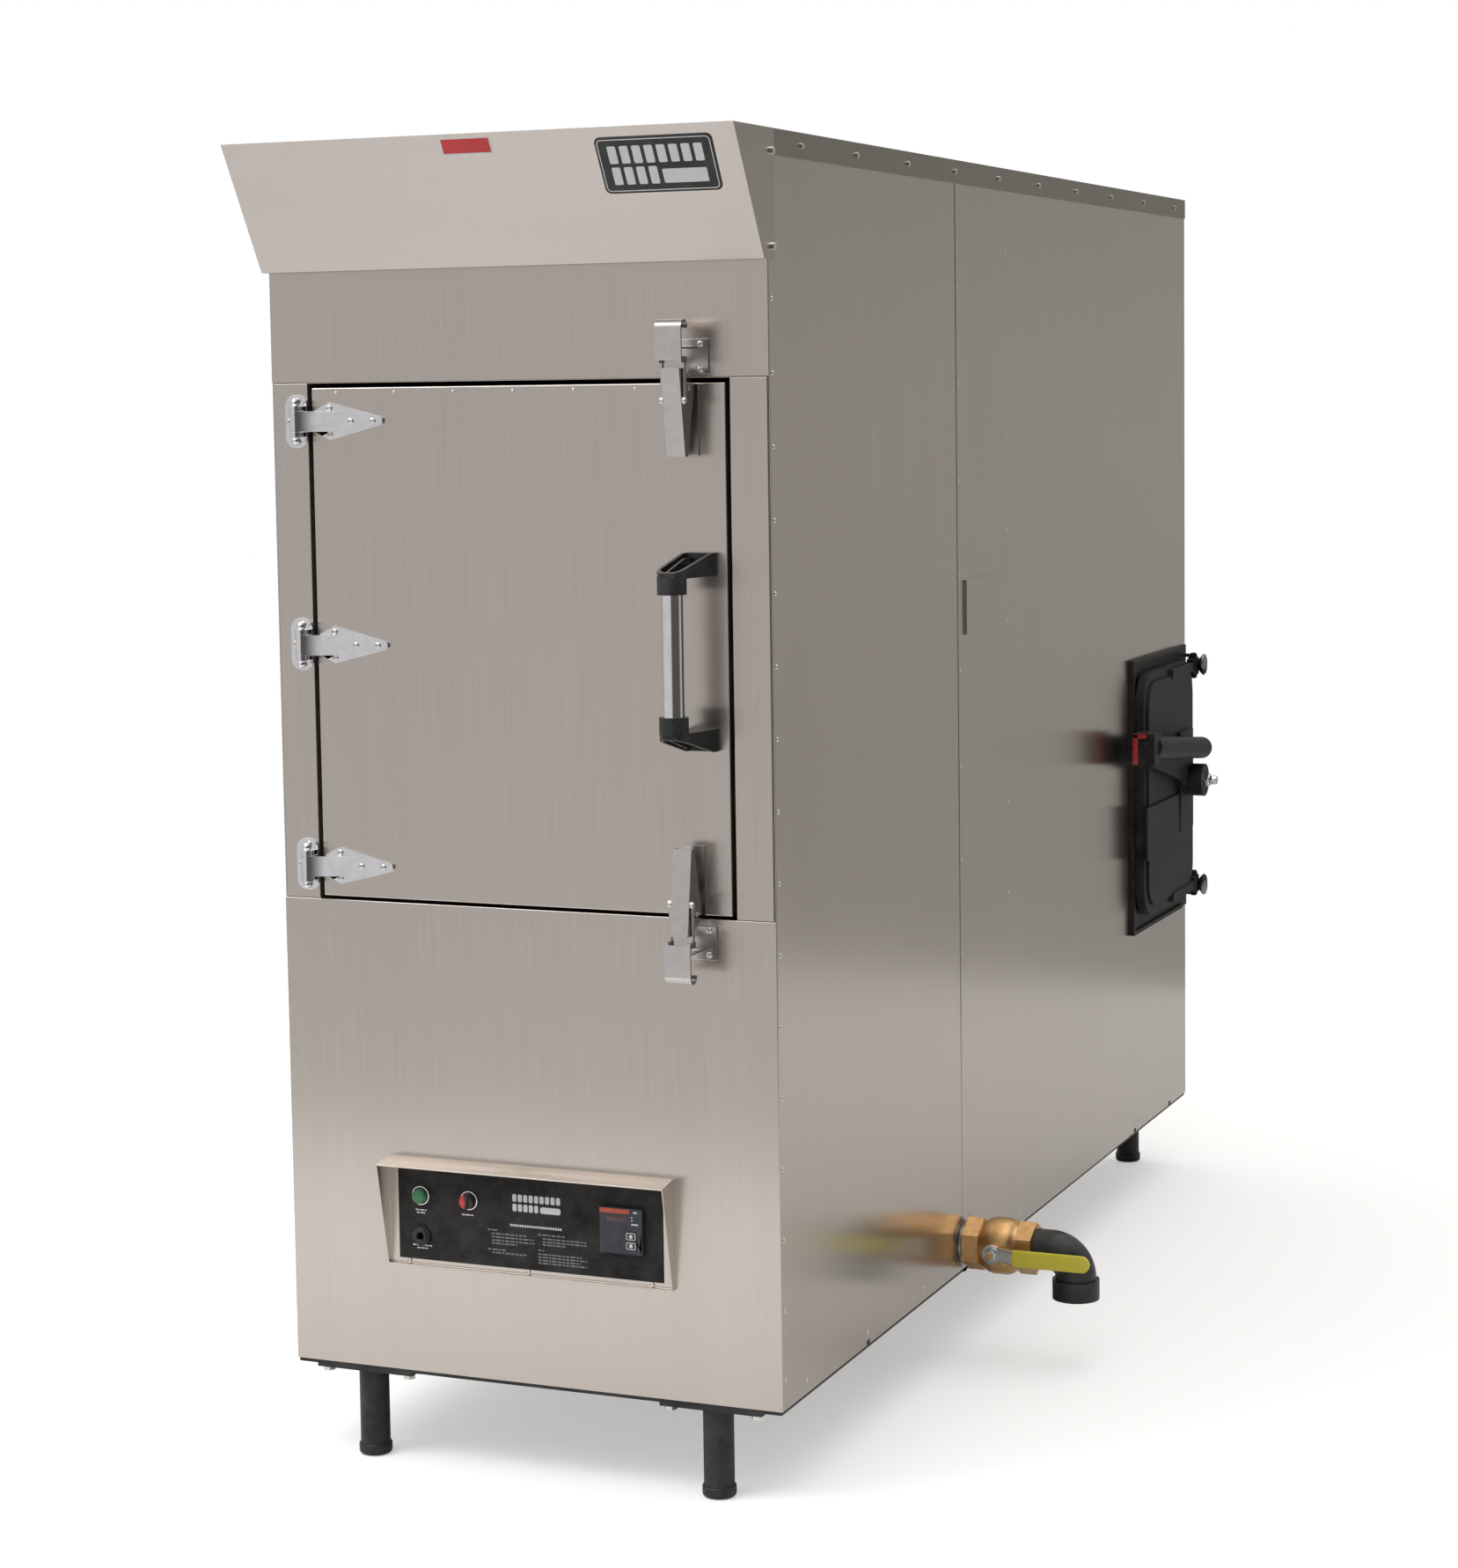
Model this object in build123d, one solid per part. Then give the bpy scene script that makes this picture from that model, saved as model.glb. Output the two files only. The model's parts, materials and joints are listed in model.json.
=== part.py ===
from build123d import *
from math import cos, pi, radians, sin, sqrt
import os

# Electric cabinet smoker with a rotisserie. Millimetres, +Z up, +X to the right seen from the door side.
# The origin is on the floor at the centre of the four feet, and the door faces -Y.

# ---- driving dimensions -------------------------------------------------------------------------
WIDTH = 742                  # over the side panels
DEPTH = 2100                 # front panels to rear panel
BODY_HEIGHT = 1700           # bottom edge of the panels to the roof
LEG_HEIGHT = 135             # floor to the bottom edge of the panels
SHEET = 2                    # skin and liner sheet
LEG_X = 265                  # foot centre from the middle
FOOT_INSET = 30              # foot centre behind the front face and before the rear face
DOOR_GAP = 5                 # door leaf to its opening
DOOR_DEPTH = 48              # door leaf
FIT = 0.05                   # radial clearance of a pin or shaft in its hole
CLEAR = 0.4                  # radial clearance of a loose hole

# ---- derived places -----------------------------------------------------------------------------
HALF = WIDTH / 2
INNER = HALF - SHEET
FRONT = -DEPTH / 2
REAR = DEPTH / 2
BASE = LEG_HEIGHT
TOP = BASE + BODY_HEIGHT
LEG_Y = DEPTH / 2 - FOOT_INSET

LOWER_SEAM = BASE + 663      # lower front panel to door strips
UPPER_SEAM = BASE + 1380     # door strips to upper front panel
OPENING_HALF = 315           # door opening
OPENING_LOW = LOWER_SEAM - 1
OPENING_HIGH = UPPER_SEAM - 1
LEAF_HALF = OPENING_HALF - DOOR_GAP - 1
LEAF_LOW = OPENING_LOW + DOOR_GAP
LEAF_HIGH = OPENING_HIGH - DOOR_GAP - 1
DOOR_MID = BASE + 1019       # height that the latches, hinges and handle are laid out about

SIDE_SEAM_Y = FRONT + 765    # riveted lap between the two side sheets
RIVET_R = 3.4
HOOD_LOW = BASE + 1531       # lower edge of the hood

HINGE_X = -323               # vertical pin line of the door
HINGE_Y = FRONT - 20
HINGE_PITCH = 308
HINGE_HEIGHTS = [DOOR_MID - HINGE_PITCH, DOOR_MID, DOOR_MID + HINGE_PITCH]
PIN_R = 4.5
KNUCKLE_R = 8.5
KNUCKLE_HALF = 14

LATCH_X = 255                # middle of both latches
FULCRUM = (FRONT - 22, BASE + 1366)      # lever pin (y, z) of the upper latch
BAIL_PIN = (FRONT - 45, BASE + 1350)     # hook rod pin (y, z) of the upper latch
LEVER_HALF = 13              # half the width of the latch lever
ROD_X = 15.8                 # hook rods on both sides of the lever

HANDLE_X = 259
HANDLE_STANDOFF = 70
HANDLE_HALF = 131            # half the height over both brackets
HANDLE_R = 14.5

# cooking chamber and rotisserie
CHAMBER_HALF = 311
CHAMBER_FRONT = FRONT + 58
CHAMBER_REAR = 390
CHAMBER_LOW = 620
CHAMBER_HIGH = TOP - 55
REEL_Y = -302
REEL_Z = 1340
REEL_R = 400                 # shaft to rack pins
SHAFT_R = 20
RACK_DEPTH = 480
RACK_HEIGHT = 270
RACK_HALF = 284
RACK_PIN_R = 8
RACK_ANGLES = [90, 210, 330]             # rack pins round the shaft, from +Y towards +Z
SPROCKET_X = -342
SPROCKET_THICK = 8
DRIVEN_R = 90
DRIVEN_TEETH = 36
DRIVE_R = 45
DRIVE_TEETH = 18
BEARING_R = 45
MOTOR_Z = 225

# firebox behind the chamber, with its door on the right side
FIREBOX_LEFT = -250
FIREBOX_FRONT = 690
FIREBOX_REAR = 1000
FIREBOX_LOW = 545
FIREBOX_HIGH = 965
FIRE_SHEET = 3
DUCT_HALF = 120              # hot air duct from the firebox to the chamber
DUCT_LOW = 700
DUCT_HIGH = 860
ELEMENT_R = 5
ELEMENT_X = 60               # the two ends of the element
ELEMENT_Z = 585
FRAME_Y = (655, 1040)        # fire door frame
FRAME_Z = (503, 1000)
FIRE_DOOR_Y = (667, 1012)
FIRE_DOOR_Z = (532, 975)
FIRE_DOOR_X = (380, 396)
FIRE_PIN = (393, 1030)       # vertical hinge line (x, y)
FIRE_PIN_R = 5
FIRE_LEVER_PIVOT = (925, 757)            # (y, z) of the latch lever pivot, its axis along X

# drain on the right side
DRAIN_Y = -285
DRAIN_Z = BASE + 41
DRAIN_DROP_X = 210           # pipe down from the chamber floor
PIPE_R = 30.15
PIPE_BORE_R = 26.2
VALVE_X = (403, 463)
VALVE_CENTRE = 433
BALL_R = 34
LEVER_REACH = 158            # stem to the end of the valve lever
ELBOW_X = 550
HUB_R = 36
HUB_LOW = BASE - 30

# controls
PANEL_X = 217                # half width of the visor
PANEL_LOW = BASE + 153
PANEL_HIGH = BASE + 306
FACE_X = 201
FACE_LOW = BASE + 162
FACE_HIGH = BASE + 288
FACE_FRONT = FRONT - 3
BUTTON = (-165, BASE + 253)
SELECTOR = (-90, BASE + 252)
PEDAL = (-165, BASE + 196)
CONTROLLER = (142.5, BASE + 230.5)
CONTROLLER_SIZE = 64
KEY_X = 158
KEY_HALF = (7.4, 5.3)        # half the width and height of a key
KEY_GAP = 0.4
KEY_HEIGHTS = {"key_up": BASE + 224.6, "key_down": BASE + 211.4}

GLAND = (-250, 300)
FLUE_Y = 240
FLUE_R = 76


# ---- small shape helpers ------------------------------------------------------------------------
def block(x, y, z):
    """Box between pairs of limits."""
    centre = Pos((x[0] + x[1]) / 2, (y[0] + y[1]) / 2, (z[0] + z[1]) / 2)
    return centre * Box(x[1] - x[0], y[1] - y[0], z[1] - z[0])


def both(half):
    return (-half, half)


def both_at(middle, half):
    return (middle - half, middle + half)


def rod(axis, span, a, b, r):
    """Cylinder along an axis: a and b are its other two coordinates, in X, Y, Z order."""
    middle, length = (span[0] + span[1]) / 2, abs(span[1] - span[0])
    if axis == "x":
        return Pos(middle, a, b) * Rot(0, 90, 0) * Cylinder(r, length)
    if axis == "y":
        return Pos(a, middle, b) * Rot(90, 0, 0) * Cylinder(r, length)
    return Pos(a, b, middle) * Cylinder(r, length)


def tube(axis, span, a, b, r, bore):
    return rod(axis, span, a, b, r) - rod(axis, (span[0] - 1, span[1] + 1), a, b, bore)


def hex_head(axis, span, a, b, r):
    """Hexagonal prism along an axis, with r across its flats halved."""
    prism = extrude(RegularPolygon(r, 6, major_radius=False), abs(span[1] - span[0]))
    low = min(span)
    if axis == "x":
        return Pos(low, a, b) * Rot(0, 90, 0) * prism
    if axis == "y":
        return Pos(a, low, b) * Rot(-90, 0, 0) * prism
    return Pos(a, b, low) * prism


def plate(plane, points, low, high):
    """Polygon in a named plane, extruded between two limits along the plane's normal."""
    planes = {"xy": Plane.XY, "yz": Plane.YZ, "xz": Plane.XZ}
    face = make_face(Polyline(*points, close=True))
    if plane == "xz":
        low, high = -high, -low
    return extrude(planes[plane] * (Pos(0, 0, low) * face), high - low)


def above_below(part):
    """Mirror image about the level that the door hardware is laid out about."""
    return mirror(part, about=Plane.XY.offset(DOOR_MID))


def dome(axis, sign, at, r, height):
    """Low round head standing on a face: axis it points along, its sign, and the foot of the head."""
    profile = make_face(Polyline((0, 0), (r, 0), (r * 0.86, height * 0.62), (r * 0.5, height), (0, height),
                                 close=True))
    head = revolve(Plane.XZ * profile, Axis.Z)
    turns = {"x": Rot(0, 90 * sign, 0), "y": Rot(-90 * sign, 0, 0), "z": Rot(0, 90 - 90 * sign, 0)}
    return Pos(*at) * turns[axis] * head


# ---- base ---------------------------------------------------------------------------------------
def leg_places():
    return [(x, y) for x in both(LEG_X) for y in both(LEG_Y)]


def make_base_frame():
    rail, steel, flange_wide, drop = 40, 4, 62, 5
    y = (FRONT + SHEET, REAR - SHEET)
    wall = block(both(INNER), y, (BASE - drop, BASE + rail - drop))
    wall -= block(both(INNER - steel), (y[0] + steel, y[1] - steel), (BASE - drop - 1, BASE + rail))
    flange = block(both(INNER), y, (BASE - drop, BASE - drop + steel))
    flange -= block(both(INNER - rail), (y[0] + flange_wide, y[1] - flange_wide), (BASE - drop - 1, BASE))
    frame = wall + flange
    for y_bar in both(DEPTH / 6):
        frame += block(both(INNER - steel / 2), (y_bar - rail / 2, y_bar + rail / 2), (BASE - drop, BASE - drop + steel))
    notch = block((INNER - steel - 1, INNER + 1), (DRAIN_Y - 54, DRAIN_Y + 54), (BASE - 1, BASE + rail))
    return frame - notch


def make_legs():
    tube_r, bore, plate_half, thick = 21.1, 17.6, 75, 5
    top = BASE - 5
    legs = []
    for x, y in leg_places():
        inward = -1 if y > 0 else 1
        near = y - inward * (FOOT_INSET - SHEET)
        pad = block((x - plate_half, x + plate_half), sorted((near, near + inward * 60)), (top - thick, top))
        legs.append(pad + tube("z", (4, top - thick + 1), x, y, tube_r, bore))
    return Compound(children=legs)


def make_foot_caps():
    """Plastic feet: a round cup with a plug that fills the end of the tube."""
    r, bore, plug_r, height, floor = 23.5, 21.4, 17.2, 16, 4
    caps = []
    for x, y in leg_places():
        groove = rod("z", (floor, height + 1), x, y, bore) - rod("z", (0, height + 2), x, y, plug_r)
        caps.append(rod("z", (0, height), x, y, r) - groove)
    return Compound(children=caps)


def make_hex_screws():
    """Leg bolts under the base, and the screws of the roof flange and the hood."""
    screws = []
    for x, y in leg_places():
        for dx in both(64):
            for dy in both(14):
                screws.append(hex_head("z", (BASE - 17, BASE - 10), x + dx, y + dy, 8))
    roof_count, flange_mid, roof_r, hood_r = 10, TOP - 18, 3.8, 4.8
    for side in (-1, 1):
        outer = side * (HALF + 1.5)
        ends = (outer, outer + side * 3)
        for n in range(roof_count):
            y = FRONT + 120 + n * (DEPTH - 200) / (roof_count - 1)
            screws.append(hex_head("x", ends, y, flange_mid, roof_r))
        hood_ends = (side * (HALF + SHEET), side * (HALF + SHEET + 4))
        for z in (HOOD_LOW + 16, TOP - 30):
            screws.append(hex_head("x", hood_ends, FRONT + 12, z, hood_r))
    return Compound(children=screws)


def make_bottom_pan():
    edge = 6
    pan = block(both(INNER - edge), (FRONT + edge + 4, REAR - edge - 4), (BASE - 1, BASE + 1))
    return pan


# ---- skin ---------------------------------------------------------------------------------------
def make_side_panel(side):
    """Side skin, with the drain hole, the firebox opening and the lower notches on the right side."""
    x = sorted((side * INNER, side * HALF))
    panel = block(x, (FRONT + SHEET, REAR - SHEET), (BASE, TOP - 1.5))
    if side > 0:
        panel -= rod("x", (INNER - 1, HALF + 1), DRAIN_Y, DRAIN_Z, PIPE_R + CLEAR)
        panel -= block((INNER - 1, HALF + 1), (FIREBOX_FRONT, FIREBOX_REAR), (FIREBOX_LOW, FIREBOX_HIGH))
        for y in (333, 1742, 1982):
            panel -= block((INNER - 1, HALF + 1), (FRONT + y - 7, FRONT + y + 7), (BASE - 1, BASE + 7))
    return panel


def make_panel_rivets():
    """Round heads in columns and a bottom row on both sides, and along the top of the rear panel."""
    rivets = []
    seam_rows = [BASE + 60 + n * 145 for n in range(11)]
    second_column_y = SIDE_SEAM_Y + 235
    front_rows = [BASE + 40 + n * 96 for n in range(16)]
    for side in (-1, 1):
        x = side * HALF
        places = [(SIDE_SEAM_Y, z) for z in seam_rows]
        places += [(second_column_y, z + 60) for z in seam_rows[1:]]
        places += [(FRONT + 13, z) for z in front_rows]
        places += [(FRONT + 90 + n * 240, BASE + 18) for n in range(9)]
        for y, z in places:
            rivets.append(dome("x", side, (x, y, z), RIVET_R, 1.5))
    return Compound(children=rivets)


def make_rear_panel():
    panel = block(both(HALF), (REAR - SHEET, REAR), (BASE, TOP - 1.5))
    hole = rod("y", (REAR - 5, REAR + 1), GLAND[0], GLAND[1], 16)
    return panel - hole


def make_roof_cap():
    flange, sheet = 35, 1.5
    front_end = FRONT + 22
    cap = block(both(HALF + sheet), (front_end, REAR + sheet), (TOP - flange, TOP))
    cap -= block(both(HALF), (front_end - 1, REAR), (TOP - flange - 1, TOP - sheet))
    cap += block(both(HALF), (FRONT, front_end + 1), (TOP - sheet, TOP))
    return cap - rod("z", (TOP - 5, TOP + 1), 0, FLUE_Y, FLUE_R + CLEAR)


def make_front_panel_upper():
    return block(both(HALF), (FRONT, FRONT + SHEET), (UPPER_SEAM + 0.6, TOP - 1.5))


def make_front_strips():
    z = (LOWER_SEAM + 0.6, UPPER_SEAM - 0.6)
    edge = HALF - 3
    left = block((-edge, -OPENING_HALF), (FRONT, FRONT + SHEET), z)
    right = block((OPENING_HALF, edge), (FRONT, FRONT + SHEET), z)
    return Compound(children=[left, right])


def make_front_panel_lower():
    panel = block(both(HALF), (FRONT, FRONT + SHEET), (BASE, LOWER_SEAM - 0.6))
    return panel - block(both(FACE_X - 12), (FRONT - 1, FRONT + 5), (FACE_LOW + 8, FACE_HIGH - 8))


def make_hood():
    """Slanted front sheet with triangular cheeks that lap onto the side panels, closed above and below."""
    outer = [(FRONT + 22, HOOD_LOW), (FRONT - 16, HOOD_LOW), (FRONT - 115, TOP), (FRONT + 22, TOP)]
    inner = [(FRONT, HOOD_LOW + 2), (FRONT - 14.6, HOOD_LOW + 2), (FRONT - 111.6, TOP - 2), (FRONT, TOP - 2)]
    hood = plate("yz", outer, -HALF - SHEET, HALF + SHEET)
    hood -= plate("yz", inner, -HALF, HALF)
    return hood - block(both(HALF), (FRONT, FRONT + 30), (HOOD_LOW - 1, TOP + 1))


def make_side_cover_plate():
    return block((HALF, HALF + 5), (FRONT + 785, FRONT + 985), (BASE + 982, BASE + 1068))


# ---- chamber and insulation ---------------------------------------------------------------------
def shaft_hole(span, r):
    return rod("x", span, REEL_Y, REEL_Z, r)


def make_inner_liner():
    """Cooking chamber welded from sheets, with the door jamb, a heat inlet, a drain and a flue hole."""
    t = SHEET
    side_y = (CHAMBER_FRONT - t, CHAMBER_REAR + t)
    height = (CHAMBER_LOW, CHAMBER_HIGH)
    floor = block(both(CHAMBER_HALF + t), side_y, (CHAMBER_LOW - t, CHAMBER_LOW))
    floor -= rod("z", (CHAMBER_LOW - 3, CHAMBER_LOW + 1), DRAIN_DROP_X, DRAIN_Y, PIPE_BORE_R)
    roof = block(both(CHAMBER_HALF + t), side_y, (CHAMBER_HIGH, CHAMBER_HIGH + t))
    roof -= rod("z", (CHAMBER_HIGH - 1, CHAMBER_HIGH + 3), 0, FLUE_Y, FLUE_R - 4)
    rear = block(both(CHAMBER_HALF), (CHAMBER_REAR, CHAMBER_REAR + t), height)
    rear -= block(both(DUCT_HALF - 3), (CHAMBER_REAR - 1, CHAMBER_REAR + 3), (DUCT_LOW + 3, DUCT_HIGH - 3))
    sheets = [floor, roof, rear, make_chamber_front()]
    for side in (-1, 1):
        wall = block(sorted((side * CHAMBER_HALF, side * (CHAMBER_HALF + t))), side_y, height)
        sheets.append(wall - shaft_hole(both(CHAMBER_HALF + 5), SHAFT_R + 2))
    jamb_y = (FRONT + t, CHAMBER_FRONT - 2 * t)
    for side in (-1, 1):
        jamb_x = sorted((side * OPENING_HALF, side * (OPENING_HALF + t)))
        sheets.append(block(jamb_x, jamb_y, (OPENING_LOW, OPENING_HIGH)))
    for z in ((OPENING_LOW - t, OPENING_LOW), (OPENING_HIGH, OPENING_HIGH + t)):
        sheets.append(block(both(OPENING_HALF + t), jamb_y, z))
    return Compound(children=sheets)


def make_chamber_front():
    """Front wall of the chamber, doubled round the doorway where the gasket closes on it."""
    t, y = SHEET, CHAMBER_FRONT
    wall = block(both(CHAMBER_HALF), (y - t, y), (CHAMBER_LOW, CHAMBER_HIGH))
    wall += block(both(OPENING_HALF + t), (y - 2 * t, y - t), (OPENING_LOW - t, OPENING_HIGH + t))
    return wall - block(both(285), (y - 3 * t, y + 1), (OPENING_LOW + 30, OPENING_HIGH - 30))


def make_insulation():
    """Mineral wool between the skins, round the chamber."""
    gap = 0.5
    side = INNER - gap
    wool = block(both(side), (FRONT + SHEET + gap, CHAMBER_REAR + 24), (CHAMBER_LOW - 55, TOP - 1.5 - gap))
    wool -= block(both(CHAMBER_HALF + 2 + gap), (CHAMBER_FRONT - 2 - gap, CHAMBER_REAR + 2 + gap),
                  (CHAMBER_LOW - 2 - gap, CHAMBER_HIGH + 2 + gap))
    wool -= block(both(OPENING_HALF + 2 + gap), (FRONT, CHAMBER_FRONT), (OPENING_LOW - 3, OPENING_HIGH + 3))
    wool -= block(both(DUCT_HALF + gap), (CHAMBER_REAR, CHAMBER_REAR + 30), (DUCT_LOW - gap, DUCT_HIGH + gap))
    wool -= rod("z", (CHAMBER_LOW - 60, CHAMBER_LOW), DRAIN_DROP_X, DRAIN_Y, PIPE_R + 1)
    wool -= rod("z", (CHAMBER_HIGH, TOP), 0, FLUE_Y, FLUE_R + 1)
    wool -= shaft_hole((CHAMBER_HALF, side + 1), BEARING_R + 1)
    wool -= block((-side - 1, -CHAMBER_HALF), (REEL_Y - 110, REEL_Y + 110), (CHAMBER_LOW - 60, REEL_Z + 110))
    return wool


def make_firebox_liner():
    """Firebox welded from steel sheets, open to the fire door, with the hot air duct to the chamber."""
    t = FIRE_SHEET
    x, y, z = (FIREBOX_LEFT, INNER), (FIREBOX_FRONT, FIREBOX_REAR), (FIREBOX_LOW, FIREBOX_HIGH)
    outer_x, outer_y = (x[0] - t, x[1]), (y[0] - t, y[1] + t)
    floor = block(outer_x, outer_y, (z[0] - t, z[0]))
    roof = block(outer_x, outer_y, (z[1], z[1] + t))
    left = block((x[0] - t, x[0]), y, z)
    rear = block(outer_x, (y[1], y[1] + t), z)
    for element_x in both(ELEMENT_X):
        rear -= rod("y", (y[1] - 1, y[1] + t + 1), element_x, ELEMENT_Z, ELEMENT_R + CLEAR)
    front = block(outer_x, (y[0] - t, y[0]), z)
    front -= block(both(DUCT_HALF), (y[0] - t - 1, y[0] + 1), (DUCT_LOW, DUCT_HIGH))
    duct_y = (CHAMBER_REAR + 2, FIREBOX_FRONT)
    sheets = [floor, roof, left, rear, front]
    for side in (-1, 1):
        sheets.append(block(sorted((side * (DUCT_HALF - t), side * DUCT_HALF)), duct_y, (DUCT_LOW, DUCT_HIGH)))
    for low in (DUCT_LOW, DUCT_HIGH - t):
        sheets.append(block(both(DUCT_HALF - t), duct_y, (low, low + t)))
    return Compound(children=sheets)


def make_heating_element():
    """Hairpin tube of three loops, its two ends through the firebox wall."""
    pitch, near, far, ends = 40, FIREBOX_FRONT + 40, FIREBOX_REAR - 40, FIREBOX_REAR + 22
    middle, outer = ELEMENT_X + pitch, ELEMENT_X + 2 * pitch
    half = [(ELEMENT_X, ends), (ELEMENT_X, near + 30), (middle, near + 30), (middle, far), (outer, far), (outer, near)]
    points = [(-x, y) for x, y in half] + half[::-1]
    path = FilletPolyline(*[(x, y, ELEMENT_Z) for x, y in points], radius=14)
    start = Plane(origin=path @ 0, z_dir=path % 0)
    return sweep(start * Circle(ELEMENT_R), path=path)


def make_wood_grate():
    """Bar grate on four feet above the element, for wood chunks."""
    x, y, z = (-200, 200), (FIREBOX_FRONT + 25, FIREBOX_REAR - 25), (625, 633)
    grate = block(x, y, z) - block((x[0] + 10, x[1] - 10), (y[0] + 10, y[1] - 10), (z[0] - 1, z[1] + 1))
    bars = 12
    for n in range(1, bars):
        middle = x[0] + n * (x[1] - x[0]) / bars
        grate += block((middle - 3, middle + 3), (y[0] + 5, y[1] - 5), z)
    for fx in x:
        for fy in y:
            sx, sy = (1 if fx < 0 else -1), (1 if fy == y[0] else -1)
            grate += block(sorted((fx, fx + 10 * sx)), sorted((fy, fy + 10 * sy)), (FIREBOX_LOW, z[1]))
    return grate


def make_flue_collar():
    collar = tube("z", (CHAMBER_HIGH + 2, TOP + 20), 0, FLUE_Y, FLUE_R, FLUE_R - 2)
    return collar


def make_power_gland():
    body = hex_head("y", (REAR, REAR + 8), GLAND[0], GLAND[1], 20) + rod("y", (REAR + 7, REAR + 26), *GLAND, 17)
    body += rod("y", (REAR - 14, REAR + 1), GLAND[0], GLAND[1], 15.5)
    return body - rod("y", (REAR - 20, REAR + 30), GLAND[0], GLAND[1], 10)


# ---- rotisserie ---------------------------------------------------------------------------------
def toothed_wheel(x, r, teeth):
    """Sprocket disc centred on the X axis, with round gaps between its teeth."""
    wheel = rod("x", (x - SPROCKET_THICK / 2, x + SPROCKET_THICK / 2), 0, 0, r)
    gap_r = pi * r / teeth * 0.5
    for n in range(teeth):
        angle = 2 * pi * n / teeth
        wheel -= rod("x", (x - SPROCKET_THICK, x + SPROCKET_THICK), r * cos(angle), r * sin(angle), gap_r)
    return wheel


def make_reel():
    """Two three-arm spiders on the main shaft, which carries the driven sprocket at its left end."""
    arm_wide, arm_thick = 44, 6
    reel = rod("x", (SPROCKET_X - 6, CHAMBER_HALF + 26), 0, 0, SHAFT_R)
    reel += toothed_wheel(SPROCKET_X, DRIVEN_R, DRIVEN_TEETH)
    for side in (-1, 1):
        x = sorted((side * (RACK_HALF + 6), side * (RACK_HALF + 6 + arm_thick)))
        spider = rod("x", x, 0, 0, 60)
        for angle in RACK_ANGLES:
            arm = block(x, (0, REEL_R), both(arm_wide / 2)) + rod("x", x, REEL_R, 0, arm_wide / 2)
            spider += Rot(angle, 0, 0) * arm
        for angle in RACK_ANGLES:
            y, z = REEL_R * cos(radians(angle)), REEL_R * sin(radians(angle))
            spider -= rod("x", (x[0] - 1, x[1] + 1), y, z, RACK_PIN_R + FIT)
        reel += spider
    return Pos(0, REEL_Y, REEL_Z) * reel


def make_rack(angle):
    """Hanging rack carrier: two end hangers with pins and two wire shelves."""
    hanger, wire, cross = 4, 4, 9
    half_y = RACK_DEPTH / 2
    rack = None
    for side in (-1, 1):
        x = sorted((side * (RACK_HALF - hanger), side * RACK_HALF))
        low = -RACK_HEIGHT
        outline = [(-18, 14), (18, 14), (half_y, -110), (half_y, low), (-half_y, low), (-half_y, -110)]
        end = plate("yz", outline, x[0], x[1])
        window = [(-14, -30), (14, -30), (half_y - 40, -128), (half_y - 40, low + 30),
                  (-half_y + 40, low + 30), (-half_y + 40, -128)]
        end -= plate("yz", window, x[0] - 1, x[1] + 1)
        end += rod("x", sorted((side * RACK_HALF, side * (RACK_HALF + 14))), 0, 0, RACK_PIN_R)
        rack = end if rack is None else rack + end
    for shelf in (-140, -RACK_HEIGHT + 6):
        for n in range(cross):
            y = -half_y + wire + 2 + n * (RACK_DEPTH - 2 * wire - 4) / (cross - 1)
            rack += block(both(RACK_HALF - 1), both_at(y, wire), both_at(shelf, wire))
        for x in (-RACK_HALF * 0.5, 0, RACK_HALF * 0.5):
            rack += block(both_at(x, wire), both(half_y - 5), both_at(shelf, wire - 1))
    y, z = REEL_R * cos(radians(angle)), REEL_R * sin(radians(angle))
    return Pos(0, REEL_Y + y, REEL_Z + z) * rack


def make_shaft_bearings():
    """Flanged bearing housings outside the chamber walls."""
    bearings = []
    for x in ((-CHAMBER_HALF - 20, -CHAMBER_HALF - 2.5), (CHAMBER_HALF + 2.5, CHAMBER_HALF + 22)):
        bearings.append(tube("x", x, REEL_Y, REEL_Z, BEARING_R, SHAFT_R + FIT))
    return Compound(children=bearings)


def make_gearmotor():
    """Right-angle gearbox on a foot, with the motor behind it and a bore for the output shaft."""
    box_x, box_half = (-322, -215), 62
    box = block(box_x, (REEL_Y - box_half, REEL_Y + box_half), (MOTOR_Z - 55, MOTOR_Z + 55))
    motor = rod("y", (REEL_Y + box_half - 1, REEL_Y + box_half + 150), -268, MOTOR_Z, 48)
    foot = block((box_x[0] + 4, box_x[1] + 30), (REEL_Y - 50, REEL_Y + 50), (BASE + 1, MOTOR_Z - 54))
    return box + motor + foot - rod("x", (box_x[0] - 1, box_x[0] + 60), REEL_Y, MOTOR_Z, 10 + FIT)


def make_drive_sprocket():
    wheel = toothed_wheel(SPROCKET_X, DRIVE_R, DRIVE_TEETH) + rod("x", (SPROCKET_X - 6, -268), 0, 0, 10)
    return Pos(0, REEL_Y, MOTOR_Z) * wheel


def belt_outline(r_high, r_low):
    """Area inside an open belt round a wheel at the reel shaft and one at the motor, in Y and Z."""
    gap = REEL_Z - MOTOR_Z
    lean = (r_high - r_low) / gap
    reach = sqrt(1 - lean * lean)
    high = [(REEL_Y + side * r_high * reach, REEL_Z + r_high * lean) for side in (-1, 1)]
    low = [(REEL_Y + side * r_low * reach, MOTOR_Z + r_low * lean) for side in (1, -1)]
    edge = Line(low[1], high[0]) + ThreePointArc(high[0], (REEL_Y, REEL_Z + r_high), high[1])
    edge += Line(high[1], low[0]) + ThreePointArc(low[0], (REEL_Y, MOTOR_Z - r_low), low[1])
    return make_face(edge)


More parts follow.
